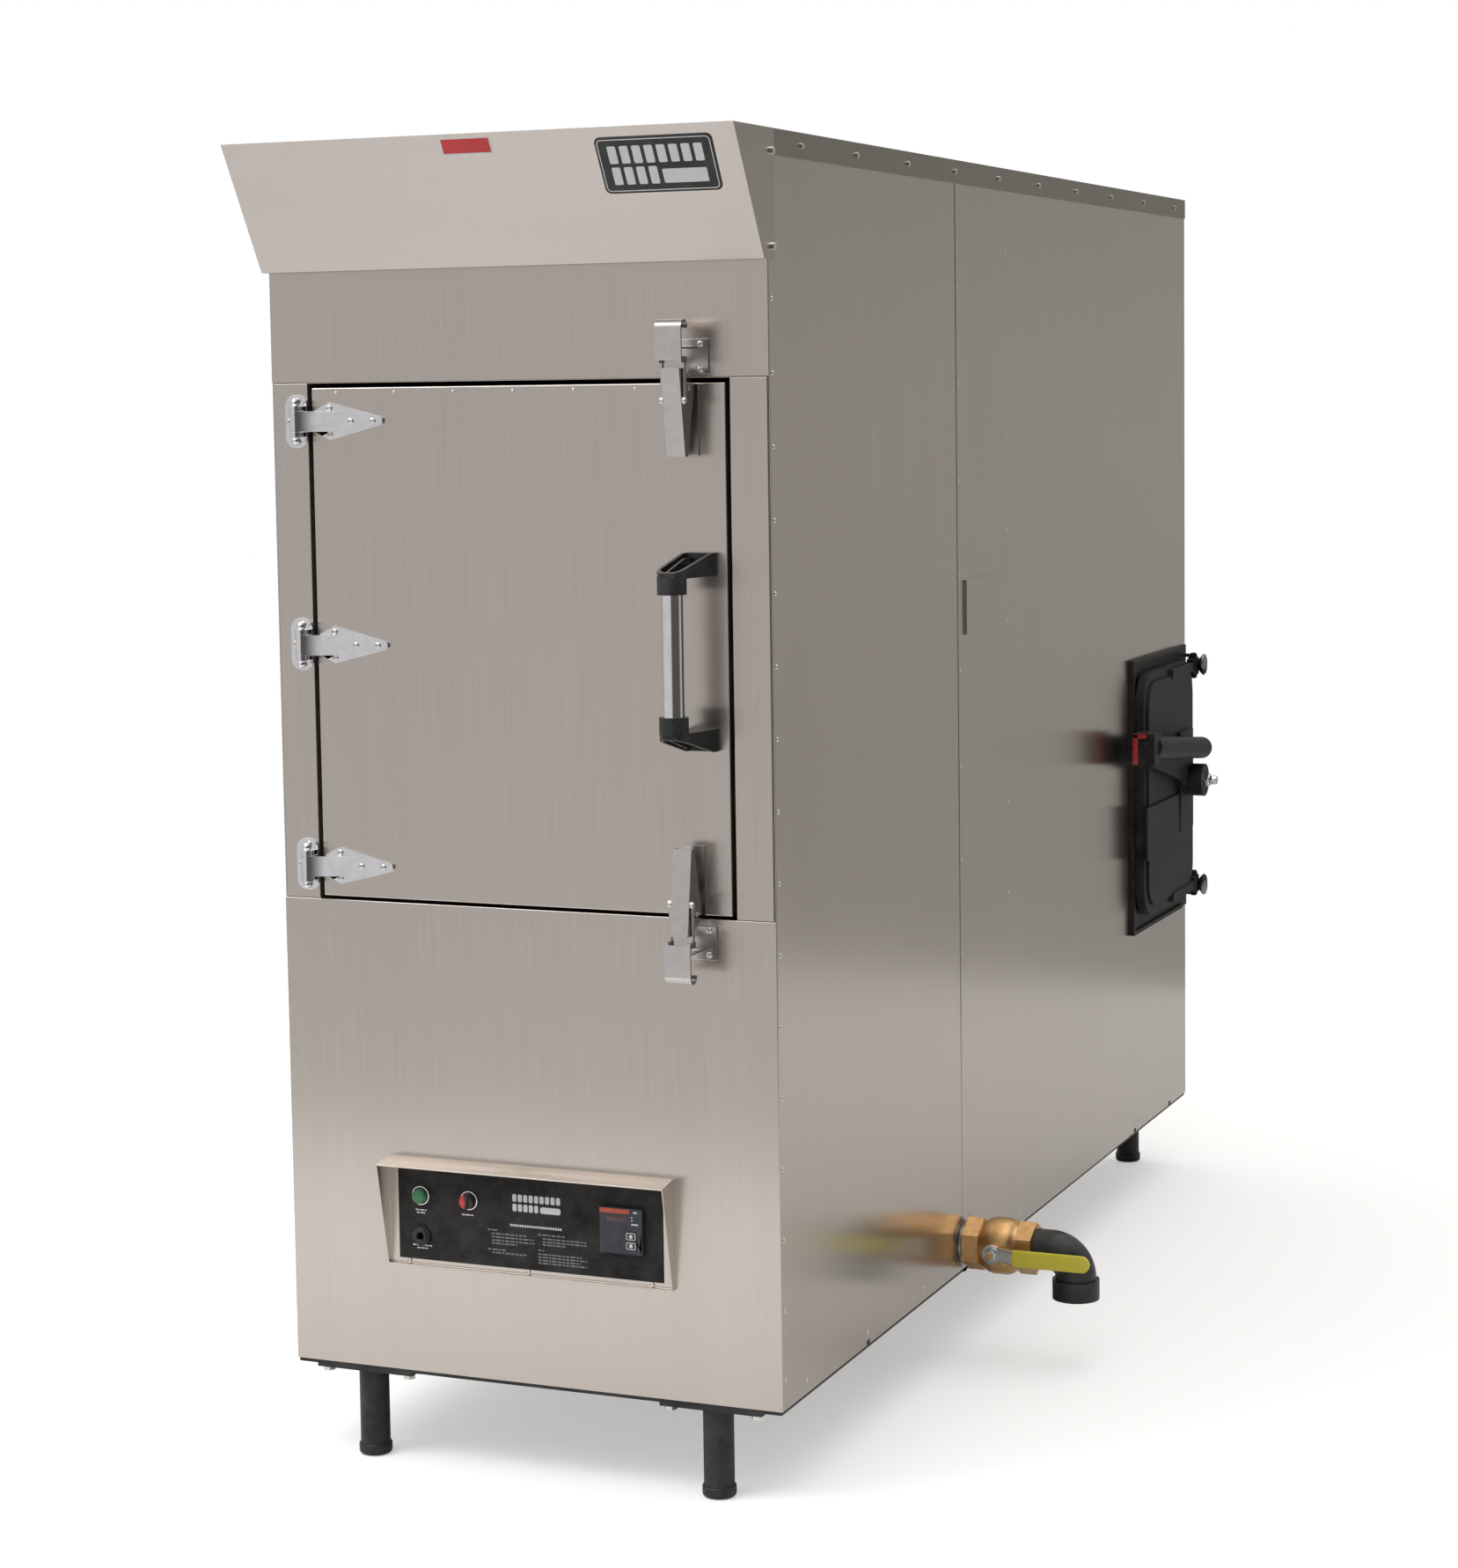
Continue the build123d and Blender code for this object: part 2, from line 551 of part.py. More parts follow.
def make_drive_chain():
    """Roller chain as a closed band that clears the tips of both sprockets."""
    gap, thick, wide = 0.8, 9, 12
    outer = belt_outline(DRIVEN_R + gap + thick, DRIVE_R + gap + thick)
    inner = belt_outline(DRIVEN_R + gap, DRIVE_R + gap)
    band = outer - inner
    return extrude(Plane.YZ * (Pos(0, 0, SPROCKET_X - wide / 2) * band), wide)


# ---- controls -----------------------------------------------------------------------------------
def make_control_housing():
    """Visor: sloping top and tapering cheeks round a mounting flange with a window for the face plate."""
    wall = 1.6
    outer = [(FRONT, PANEL_LOW), (FRONT - 8, PANEL_LOW), (FRONT - 38, PANEL_HIGH - 6), (FRONT, PANEL_HIGH)]
    inner = [(FRONT - wall, PANEL_LOW + wall), (FRONT - 20, PANEL_LOW + wall), (FRONT - 60, PANEL_HIGH - 12),
             (FRONT - wall, PANEL_HIGH - wall)]
    visor = plate("yz", outer, -PANEL_X, PANEL_X) - plate("yz", inner, -PANEL_X + wall, PANEL_X - wall)
    return visor - block(both(FACE_X + 0.3), (FRONT - 5, FRONT + 1), (FACE_LOW - 0.3, FACE_HIGH + 0.3))


def make_control_face():
    face = block(both(FACE_X), (FACE_FRONT, FRONT), (FACE_LOW, FACE_HIGH))
    for (x, z), r in ((BUTTON, 8.4), (SELECTOR, 4.4), (PEDAL, 10.4)):
        face -= rod("y", (FACE_FRONT - 1, FRONT + 1), x, z, r)
    half = CONTROLLER_SIZE / 2 - 4
    x, z = CONTROLLER
    return face - block((x - half, x + half), (FACE_FRONT - 1, FRONT + 1), (z - half, z + half))


def make_temperature_controller():
    """Panel instrument: square bezel, deep case behind it and two key wells."""
    x, z = CONTROLLER
    half = CONTROLLER_SIZE / 2
    front = FACE_FRONT - 8
    bezel = block((x - half, x + half), (front, FACE_FRONT), (z - half, z + half))
    bezel = chamfer(bezel.faces().sort_by(Axis.Y)[0].edges(), 1.2)
    case = block((x - half + 4.5, x + half - 4.5), (FACE_FRONT - 1, FRONT + 85), (z - half + 4.5, z + half - 4.5))
    body = bezel + case
    for key_z in KEY_HEIGHTS.values():
        well = (both_at(KEY_X, KEY_HALF[0] + KEY_GAP), both_at(key_z, KEY_HALF[1] + KEY_GAP))
        body -= block(well[0], (front - 1, front + 6), well[1])
    return body


def make_key(name):
    front = FACE_FRONT - 8
    return block(both_at(KEY_X, KEY_HALF[0]), (front - 1, front + 3.6), both_at(KEY_HEIGHTS[name], KEY_HALF[1]))


def make_pedal_socket():
    x, z = PEDAL
    body = rod("y", (FACE_FRONT - 5, FACE_FRONT), x, z, 13.5) + rod("y", (FACE_FRONT - 1, FRONT + 22), x, z, 10)
    return body - rod("y", (FACE_FRONT - 6, FACE_FRONT + 14), x, z, 5)


def make_advance_button():
    x, z = BUTTON
    cap = rod("y", (FACE_FRONT - 10, FACE_FRONT - 4), x, z, 10.5)
    cap = chamfer(cap.edges().group_by(Axis.Y)[0], 1.2)
    return cap + rod("y", (FACE_FRONT - 5, FRONT + 24), x, z, 8)


def make_selector_knob():
    x, z = SELECTOR
    skirt = rod("y", (FACE_FRONT - 7, FACE_FRONT - 1), x, z, 11.5)
    grip = block((x - 3.2, x + 3.2), (FACE_FRONT - 16, FACE_FRONT - 6), (z - 10.8, z + 10.8))
    return skirt + grip + rod("y", (FACE_FRONT - 2, FRONT + 20), x, z, 4)


# ---- door ---------------------------------------------------------------------------------------
def make_door_shell():
    shell = block(both(LEAF_HALF), (FRONT, FRONT + DOOR_DEPTH - SHEET), (LEAF_LOW, LEAF_HIGH))
    return shell - block(both(LEAF_HALF - SHEET), (FRONT + SHEET, FRONT + DOOR_DEPTH),
                         (LEAF_LOW + SHEET, LEAF_HIGH - SHEET))


def make_door_liner():
    return block(both(LEAF_HALF), (FRONT + DOOR_DEPTH - SHEET, FRONT + DOOR_DEPTH), (LEAF_LOW, LEAF_HIGH))


def make_door_insulation():
    edge = SHEET + 0.5
    return block(both(LEAF_HALF - edge), (FRONT + edge, FRONT + DOOR_DEPTH - edge), (LEAF_LOW + edge, LEAF_HIGH - edge))


def make_door_gasket():
    y = (FRONT + DOOR_DEPTH, FRONT + DOOR_DEPTH + 5)
    ring = block(both(LEAF_HALF - 4), y, (LEAF_LOW + 4, LEAF_HIGH - 4))
    return ring - block(both(LEAF_HALF - 19), (y[0] - 1, y[1] + 1), (LEAF_LOW + 19, LEAF_HIGH - 19))


def make_hinge_plates():
    """Cabinet half of each strap hinge: rounded plate, two ears and the pin with ball ends."""
    pieces = []
    for z in HINGE_HEIGHTS:
        base = RectangleRounded(34, 73, 15)
        plate_part = extrude(Plane.XZ * (Pos(-332, z) * base), 3)
        plate_part = Pos(0, FRONT, 0) * plate_part
        for side in (-1, 1):
            ear_z = sorted((z + side * (KNUCKLE_HALF + 0.5), z + side * (KNUCKLE_HALF + 7)))
            ear = block((HINGE_X - 8, HINGE_X + 7), (HINGE_Y, FRONT - 2), ear_z)
            ear += rod("z", ear_z, HINGE_X, HINGE_Y, KNUCKLE_R)
            plate_part += ear
        plate_part -= rod("z", (z - 40, z + 40), HINGE_X, HINGE_Y, PIN_R)
        pin = rod("z", (z - 25, z + 25), HINGE_X, HINGE_Y, PIN_R)
        for side in (-1, 1):
            pin += Pos(HINGE_X, HINGE_Y, z + side * 26) * Sphere(6.3)
        pieces += [plate_part, pin]
    return Compound(children=pieces)


def strap_outline(z):
    """Strap seen square on: shoulders near the door edge, tapering to a round tip."""
    shoulder, tip, root = -279, -204, -303
    points = [(root, z - 14), (shoulder, z - 26), (tip, z - 7), (tip, z + 7), (shoulder, z + 26), (root, z + 14)]
    return make_face(Polyline(*points, close=True)) + Pos(tip, z) * Circle(7)


def make_hinge_straps():
    """Door half of each strap hinge: flat strap, swelling ridge and the knuckle round the pin."""
    straps = []
    for z in HINGE_HEIGHTS:
        flat = extrude(Plane.XZ * strap_outline(z), 4)
        flat = Pos(0, FRONT, 0) * flat
        ridge = [(-302, FRONT - 1), (-240, FRONT - 1), (-300, FRONT - 21), (HINGE_X, HINGE_Y - KNUCKLE_R),
                 (HINGE_X, HINGE_Y), (-303, FRONT - 6)]
        strap = flat + plate("xy", ridge, z - KNUCKLE_HALF, z + KNUCKLE_HALF)
        strap += rod("z", (z - KNUCKLE_HALF, z + KNUCKLE_HALF), HINGE_X, HINGE_Y, KNUCKLE_R)
        strap -= rod("z", (z - 30, z + 30), HINGE_X, HINGE_Y, PIN_R + FIT)
        straps.append(strap)
    return Compound(children=straps)


def make_handle_tube():
    y = FRONT - HANDLE_STANDOFF
    return rod("z", (DOOR_MID - 95, DOOR_MID + 95), HANDLE_X, y, HANDLE_R)


def make_handle_brackets():
    """Two end brackets: a cup for the tube and an open channel that rises to a foot on the door."""
    x, y = HANDLE_X, FRONT - HANDLE_STANDOFF
    top = DOOR_MID + HANDLE_HALF
    low = top - 30
    outline = [(x - 18, y + 6), (x - 18, y - 6), (x - 10, y - 16), (x + 10, y - 16), (x + 18, y - 8),
               (x + 34, FRONT - 12), (x + 34, FRONT), (x - 8, FRONT), (x - 10, FRONT - 10)]
    channel = [(x - 14, y + 4), (x - 14, y - 5), (x - 8, y - 12), (x + 8, y - 12), (x + 14, y - 5),
               (x + 30, FRONT - 13), (x + 30, FRONT - 8), (x - 4, FRONT - 8), (x - 6, FRONT - 14)]
    rib = [(x - 3, y - 14), (x, y - 14), (x + 5, FRONT - 7), (x + 2, FRONT - 7)]
    slope = [(y - 25, low + 5), (FRONT - 14, top), (FRONT - 14, top + 2), (y - 25, top + 2)]
    bracket = plate("xy", outline, low, top) - plate("xy", channel, low + 4, top + 1)
    bracket += plate("xy", rib, low + 1, top - 6)
    bracket -= plate("yz", slope, x - 40, x + 70)
    bracket += rod("z", (DOOR_MID + 80, low + 2), x, y, HANDLE_R + 5)
    bracket -= rod("z", (DOOR_MID + 79, DOOR_MID + 95), x, y, HANDLE_R + FIT)
    return Compound(children=[bracket, above_below(bracket)])


# ---- draw latches, drawn as the upper one -------------------------------------------------------
def make_latch_base():
    """Plate on the door with two ears and the lever pin."""
    x = LATCH_X
    base = block((x - 15, x + 16), (FRONT - 3, FRONT), (BASE + 1277, BASE + 1370))
    for side in (-1, 1):
        inner, outer = sorted((x + side * 7, x + side * 9.5))
        base += block((inner, outer), (FRONT - 28, FRONT - 2), (BASE + 1356, BASE + 1376))
    return base + rod("x", (x - LEVER_HALF - 1.5, x + LEVER_HALF + 1.5), *FULCRUM, 3)


def make_latch_lever():
    """Channel lever over the base, with the pin that the hook rods hang on."""
    x = LATCH_X
    side = [(FRONT - 57, BASE + 1392), (FRONT - 40, BASE + 1277), (FRONT - 30, BASE + 1277),
            (FRONT - 12, BASE + 1350), (FRONT - 12, BASE + 1374), (FRONT - 38, BASE + 1392)]
    inside = [(FRONT - 54.8, BASE + 1394), (FRONT - 37.4, BASE + 1270), (FRONT, BASE + 1270), (FRONT, BASE + 1394)]
    lever = plate("yz", side, x - LEVER_HALF, x + LEVER_HALF)
    lever -= plate("yz", inside, x - LEVER_HALF + 2, x + LEVER_HALF - 2)
    lever -= rod("x", (x - 20, x + 20), *FULCRUM, 3 + FIT)
    return lever + rod("x", (x - ROD_X - 3.4, x + ROD_X + 3.4), *BAIL_PIN, 2.5)


def make_latch_bail():
    """Two rods from the lever up to a strip rolled over at the top into a hook."""
    x = LATCH_X
    y = BAIL_PIN[0]
    lip_front, lip_low, lip_high = FRONT - 62, BASE + 1402, BASE + 1444
    bail = block((x - 18.5, x + 18.5), (lip_front, lip_front + 3), (lip_low, lip_high))
    curl = rod("x", (x - 18.5, x + 18.5), lip_front + 11, lip_high, 11)
    curl -= rod("x", (x - 20, x + 20), lip_front + 11, lip_high, 8)
    bail += curl - block((x - 20, x + 20), (lip_front - 1, lip_front + 40), (lip_low, lip_high))
    for side in (-1, 1):
        rod_x = x + side * ROD_X
        bail += rod("z", (BAIL_PIN[1], lip_low + 4), rod_x, y, 2.5)
        bail += block(sorted((rod_x - 2.6 * side, rod_x + 2.7 * side)), (lip_front + 1, y + 3), (lip_low - 3, lip_low + 5))
        bail += rod("x", (rod_x - 2.2, rod_x + 2.2), *BAIL_PIN, 5.5)
    return bail - rod("x", (x - 25, x + 25), *BAIL_PIN, 2.5 + FIT)


def make_latch_keeper():
    """Bracket on the cabinet: screwed flange, arm and the lip that the hook sits over."""
    x = LATCH_X
    keeper = block((x - 9, x + 32), (FRONT - 3, FRONT), (BASE + 1384, BASE + 1430))
    keeper += block((x - 9, x + 9), (FRONT - 50, FRONT - 2), (BASE + 1417, BASE + 1420))
    return keeper + block((x - 9, x + 9), (FRONT - 50, FRONT - 47), (BASE + 1417, BASE + 1441))


# ---- drain --------------------------------------------------------------------------------------
def make_drain_nipple():
    """Pipe from the chamber floor down and out through the right side."""
    path = FilletPolyline((DRAIN_DROP_X, DRAIN_Y, CHAMBER_LOW - 2), (DRAIN_DROP_X, DRAIN_Y, DRAIN_Z),
                          (VALVE_X[0] - 25, DRAIN_Y, DRAIN_Z), radius=60)
    start = Plane(origin=path @ 0, z_dir=path % 0)
    return sweep(start * (Circle(PIPE_R) - Circle(PIPE_BORE_R)), path=path)


def make_valve_body():
    """Brass body: a swollen barrel with the ball seat, hexagonal ends and the stem boss on the front."""
    low, high = VALVE_X
    barrel = [(0, low), (34, low), (36, low + 5), (41, low + 11), (43.5, low + 20), (43.5, high - 20),
              (41, high - 11), (36, high - 5), (34, high), (0, high)]
    turned = revolve(Plane.XZ * make_face(Polyline(*barrel, close=True)), Axis.Z)
    body = Pos(0, DRAIN_Y, DRAIN_Z) * Rot(0, 90, 0) * turned
    body += hex_head("x", (low - 25, low + 1), DRAIN_Y, DRAIN_Z, 36)
    body += hex_head("x", (high - 1, high + 25), DRAIN_Y, DRAIN_Z, 36)
    body += rod("y", (DRAIN_Y - 52, DRAIN_Y), VALVE_CENTRE, DRAIN_Z, 13)
    body -= rod("x", (low - 30, high + 30), DRAIN_Y, DRAIN_Z, PIPE_BORE_R)
    body -= Pos(VALVE_CENTRE, DRAIN_Y, DRAIN_Z) * Sphere(BALL_R + 0.3)
    return body - rod("y", (DRAIN_Y - 60, DRAIN_Y), VALVE_CENTRE, DRAIN_Z, 6 + FIT)


def make_valve_ball():
    """Bored ball with its stem, which ends in the flats that the lever fits on."""
    ball = Pos(VALVE_CENTRE, DRAIN_Y, DRAIN_Z) * Rot(0, 90, 0) * Sphere(BALL_R)
    ball -= rod("x", (VALVE_CENTRE - 50, VALVE_CENTRE + 50), DRAIN_Y, DRAIN_Z, PIPE_BORE_R - 1)
    return ball + rod("y", (DRAIN_Y - 66, DRAIN_Y - BALL_R + 3), VALVE_CENTRE, DRAIN_Z, 6)


def make_valve_lever():
    """Flat lever along the pipe, open, cranked outwards beyond the hub."""
    y = DRAIN_Y - 58
    hub = block((VALVE_CENTRE - 15, VALVE_CENTRE + 24), (y, y + 3.5), both_at(DRAIN_Z, 14))
    step = [(VALVE_CENTRE + 20, y + 3.5), (VALVE_CENTRE + 20, y), (VALVE_CENTRE + 34, y - 10),
            (VALVE_CENTRE + LEVER_REACH, y - 10), (VALVE_CENTRE + LEVER_REACH, y - 6.5), (VALVE_CENTRE + 36, y - 6.5)]
    lever = hub + plate("xy", step, DRAIN_Z - 12.5, DRAIN_Z + 12.5)
    return lever - rod("y", (y - 10, y + 10), VALVE_CENTRE, DRAIN_Z, 6 + FIT)


def make_drain_elbow():
    """Plastic pipe bend from the valve, turning down into a socket hub."""
    start_x, r_out, r_bore = VALVE_X[1] + 25, 31, 26
    path = FilletPolyline((start_x, DRAIN_Y, DRAIN_Z), (ELBOW_X, DRAIN_Y, DRAIN_Z), (ELBOW_X, DRAIN_Y, HUB_LOW + 22),
                          radius=38)
    start = Plane(origin=path @ 0, z_dir=path % 0)
    bend = sweep(start * (Circle(r_out) - Circle(r_bore)), path=path)
    hub = tube("z", (HUB_LOW, HUB_LOW + 24), ELBOW_X, DRAIN_Y, HUB_R, PIPE_R + 0.1)
    stop = tube("z", (HUB_LOW + 22, HUB_LOW + 30), ELBOW_X, DRAIN_Y, HUB_R, r_bore)
    return bend + hub + stop


# ---- fire door ----------------------------------------------------------------------------------
def rounded_slab(x, y, z, r):
    slab = block(x, y, z)
    return fillet(slab.edges().filter_by(Axis.X), r)


def make_fire_door_frame():
    """Flat flange on the side panel with a raised rim, two hinge lugs with pins and the lever rest."""
    y, z = FRAME_Y, FRAME_Z
    frame = block((HALF, HALF + 5), y, z)
    rim = block((HALF, HALF + 10), (y[0], y[1] - 45), z)
    rim -= block((HALF + 4, HALF + 12), (y[0] + 7, y[1]), (z[0] + 7, z[1] - 7))
    frame += rim
    frame -= block((HALF - 1, HALF + 12), (FIREBOX_FRONT, FIREBOX_REAR), (FIREBOX_LOW, FIREBOX_HIGH))
    x, pin_y = FIRE_PIN
    for middle in fire_hinge_heights():
        for side in (-1, 1):
            lug_z = sorted((middle + side * 16.5, middle + side * 22))
            frame += block((HALF + 4, x), (pin_y - 7, pin_y + 7), lug_z) + rod("z", lug_z, x, pin_y, 7)
        frame += rod("z", (middle - 24, middle + 24), x, pin_y, FIRE_PIN_R)
    return frame


def fire_hinge_heights():
    return (FIRE_DOOR_Z[0] + 14, FIRE_DOOR_Z[1] - 14)


def make_fire_door():
    """Round-cornered plate with hinge arms, end knobs, a hub pad and a stood-off shield."""
    x, y, z = FIRE_DOOR_X, FIRE_DOOR_Y, FIRE_DOOR_Z
    door = rounded_slab(x, y, z, 60)
    door += rounded_slab((x[1] - 1, x[1] + 5), (y[0] + 18, y[1] - 18), (z[0] + 18, z[1] - 18), 46)
    pin_x, pin_y = FIRE_PIN
    for middle in fire_hinge_heights():
        door += block((x[0] + 4, x[1] + 8), (y[1] - 170, pin_y - 10), (middle - 8, middle + 8))
        door += block((pin_x - 5, pin_x + 8), (y[1] - 12, pin_y), (middle - 14, middle + 14))
        door += rod("z", (middle - 16, middle + 16), pin_x, pin_y, 10)
        door += end_knob(pin_x + 5, pin_y, middle)
        door -= rod("z", (middle - 30, middle + 30), pin_x, pin_y, FIRE_PIN_R + FIT)
    pivot_y, pivot_z = FIRE_LEVER_PIVOT
    door += block((x[1], x[1] + 12), (pivot_y - 45, pivot_y + 45), (pivot_z - 92, pivot_z + 92))
    door += block((x[1] + 4, x[1] + 10), (y[0] - 10, y[1] - 60), (640, 735))
    return door + rod("x", (x[1], x[1] + 62), pivot_y, pivot_z, 8)


def end_knob(x, y, z):
    """Bell-shaped end knob, its axis along X."""
    profile = make_face(Polyline((0, 0), (7, 0), (8, 5), (16, 12), (18, 15), (15, 18), (0, 20), close=True))
    return Pos(x, y, z) * Rot(0, 90, 0) * revolve(Plane.XZ * profile, Axis.Z)


def make_fire_door_handle():
    """Latch lever: hub on the pivot, tapering arm, square end block and the round grip."""
    pivot_y, pivot_z = FIRE_LEVER_PIVOT
    near = FIRE_DOOR_X[1] + 12.5
    hub = rod("x", (near, near + 34), pivot_y, pivot_z, 30)
    arm_points = [(590, pivot_z + 70), (590, pivot_z + 100), (pivot_y, pivot_z + 60), (pivot_y + 22, pivot_z),
                  (pivot_y, pivot_z - 26), (pivot_y - 60, pivot_z + 5)]
    arm = plate("yz", arm_points, near, near + 8)
    end = block((near - 6, near + 34), (570, 612), (pivot_z + 66, pivot_z + 122))
    grip_start = Vector(near + 20, 600, pivot_z + 95)
    grip_end = Vector(near + 22, pivot_y + 20, pivot_z + 58)
    along = grip_end - grip_start
    grip = Plane(origin=grip_start, z_dir=along) * extrude(Circle(20), along.length)
    handle = hub + arm + end + grip
    return handle - rod("x", (near - 30, near + 60), pivot_y, pivot_z, 8 + FIT)


# ---- build --------------------------------------------------------------------------------------
PARTS = {
    "base_frame": make_base_frame,
    "legs": make_legs,
    "foot_caps": make_foot_caps,
    "hex_screws": make_hex_screws,
    "bottom_pan": make_bottom_pan,
    "side_panel_right": lambda: make_side_panel(1),
    "side_panel_left": lambda: make_side_panel(-1),
    "rear_panel": make_rear_panel,
    "roof_cap": make_roof_cap,
    "front_panel_upper": make_front_panel_upper,
    "front_strips": make_front_strips,
    "front_panel_lower": make_front_panel_lower,
    "hood": make_hood,
    "panel_rivets": make_panel_rivets,
    "side_cover_plate": make_side_cover_plate,
    "inner_liner": make_inner_liner,
    "insulation": make_insulation,
    "firebox_liner": make_firebox_liner,
    "heating_element": make_heating_element,
    "wood_grate": make_wood_grate,
    "flue_collar": make_flue_collar,
    "power_gland": make_power_gland,
    "gearmotor": make_gearmotor,
    "shaft_bearings": make_shaft_bearings,
    "drive_chain": make_drive_chain,
    "control_housing": make_control_housing,
    "control_face": make_control_face,
    "temperature_controller": make_temperature_controller,
    "pedal_socket": make_pedal_socket,
    "hinge_plates": make_hinge_plates,
    "latch_keepers": lambda: Compound(children=[make_latch_keeper(), above_below(make_latch_keeper())]),
    "fire_door_frame": make_fire_door_frame,
    "drain_nipple": make_drain_nipple,
    "valve_body": make_valve_body,
    "drain_elbow": make_drain_elbow,
    "door_shell": make_door_shell,
    "door_liner": make_door_liner,
    "door_insulation": make_door_insulation,
    "door_gasket": make_door_gasket,
    "hinge_straps": make_hinge_straps,
    "handle_tube": make_handle_tube,
    "handle_brackets": make_handle_brackets,
    "latch_bases": lambda: Compound(children=[make_latch_base(), above_below(make_latch_base())]),
    "latch_lever_upper": make_latch_lever,
    "latch_bail_upper": make_latch_bail,
    "latch_lever_lower": lambda: above_below(make_latch_lever()),
    "latch_bail_lower": lambda: above_below(make_latch_bail()),
    "fire_door": make_fire_door,
    "fire_door_handle": make_fire_door_handle,
    "valve_lever": make_valve_lever,
    "valve_ball": make_valve_ball,
    "advance_button": make_advance_button,
    "selector_knob": make_selector_knob,
    "key_up": lambda: make_key("key_up"),
    "key_down": lambda: make_key("key_down"),
    "reel": make_reel,
    "drive_sprocket": make_drive_sprocket,
}
for number, angle in enumerate(RACK_ANGLES, 1):
    PARTS[f"rack_{number}"] = lambda angle=angle: make_rack(angle)


def main():
    os.makedirs("parts", exist_ok=True)
    for name, make in PARTS.items():
        export_step(make(), f"parts/{name}.step")


main()
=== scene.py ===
import json
from math import atan2, cos, pi, radians, sin, sqrt

import bmesh
import bpy
from mathutils import Matrix, Vector


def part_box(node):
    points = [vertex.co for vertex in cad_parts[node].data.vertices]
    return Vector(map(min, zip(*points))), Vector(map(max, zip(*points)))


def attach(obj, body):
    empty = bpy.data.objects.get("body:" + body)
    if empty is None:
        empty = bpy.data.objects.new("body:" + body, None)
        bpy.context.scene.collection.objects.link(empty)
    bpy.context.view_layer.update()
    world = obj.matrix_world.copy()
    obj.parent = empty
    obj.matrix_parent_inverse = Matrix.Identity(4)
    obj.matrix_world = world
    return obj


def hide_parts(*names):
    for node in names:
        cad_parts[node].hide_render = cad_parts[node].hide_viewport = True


# Electric cabinet smoker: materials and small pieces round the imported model. Metres, row frame.

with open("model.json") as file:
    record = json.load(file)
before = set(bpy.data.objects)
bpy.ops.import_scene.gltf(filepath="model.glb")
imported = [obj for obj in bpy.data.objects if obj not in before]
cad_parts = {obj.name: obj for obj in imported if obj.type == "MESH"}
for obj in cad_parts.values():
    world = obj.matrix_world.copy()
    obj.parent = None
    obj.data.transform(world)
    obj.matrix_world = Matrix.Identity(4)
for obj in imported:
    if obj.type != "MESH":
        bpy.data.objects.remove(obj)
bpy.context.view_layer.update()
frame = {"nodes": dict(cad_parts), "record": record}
NODES = frame["nodes"]

# ---- directions that a flat piece can face: local x, local y and outward z as columns -------------
TO_FRONT = Matrix(((1, 0, 0), (0, 0, -1), (0, 1, 0)))
TO_RIGHT = Matrix(((0, 0, 1), (1, 0, 0), (0, 1, 0)))
TO_LEFT = Matrix(((0, 0, -1), (-1, 0, 0), (0, 1, 0)))
TO_TOP = Matrix.Identity(3)

MM = 0.001


# ---- shapes: each is (points, faces) in its own local frame, in millimetres ------------------------
def at(x, y, z, facing=TO_TOP):
    """Matrix that puts a local shape at a point, with its z outward."""
    return Matrix.Translation((x, y, z)) @ facing.to_4x4()


def inset(outline, distance):
    """Polygon with its sides moved inwards."""
    moved = []
    for n, point in enumerate(outline):
        before, after = Vector(outline[n - 1]), Vector(outline[(n + 1) % len(outline)])
        here = Vector(point)
        a, b = (here - before).normalized(), (after - here).normalized()
        normal_a, normal_b = Vector((-a.y, a.x)), Vector((-b.y, b.x))
        middle = normal_a + normal_b
        moved.append(tuple(here + middle * (distance / max(0.3, 1 + normal_a.dot(normal_b)))))
    return moved


def skin(rings, closed_ends=True):
    """Faces between rings of equally many points, with a cap at each end."""
    count = len(rings[0])
    points = [tuple(p) for ring in rings for p in ring]
    faces = []
    for k in range(len(rings) - 1):
        for n in range(count):
            m = (n + 1) % count
            faces.append((k * count + n, k * count + m, (k + 1) * count + m, (k + 1) * count + n))
    if closed_ends:
        faces.append(tuple(reversed(range(count))))
        faces.append(tuple(range((len(rings) - 1) * count, len(rings) * count)))
    return points, faces


def slab(outline, low, high, edge=0.0, steps=3):
    """Flat piece with rounded outer edges on top."""
    rings = [[(x, y, low) for x, y in outline], [(x, y, high - edge) for x, y in outline]]
    for n in range(1, steps + 1 if edge else 0):
        angle = n * pi / 2 / steps
        moved = inset(outline, edge * (1 - cos(angle)))
        rings.append([(x, y, high - edge + edge * sin(angle)) for x, y in moved])
    return skin(rings)


def lathe(profile, count=40):
    """Profile of (radius, height) turned about local z."""
    rings = []
    for r, h in profile:
        rings.append([(r * cos(2 * pi * n / count), r * sin(2 * pi * n / count), h) for n in range(count)])
    return skin(rings)


def ring_lathe(profile, count=40):
    """Closed profile turned about local z, for rings with a hole."""
    rings = []
    for r, h in list(profile) + [profile[0]]:
        rings.append([(r * cos(2 * pi * n / count), r * sin(2 * pi * n / count), h) for n in range(count)])
    return skin(rings, closed_ends=False)


def rounded_rect(width, height, r, steps=5):
    points = []
    for cx, cy, start in ((1, 1, 0), (-1, 1, 90), (-1, -1, 180), (1, -1, 270)):
        for n in range(steps + 1):
            angle = radians(start + 90 * n / steps)
            points.append((cx * (width / 2 - r) + r * cos(angle), cy * (height / 2 - r) + r * sin(angle)))
    return points


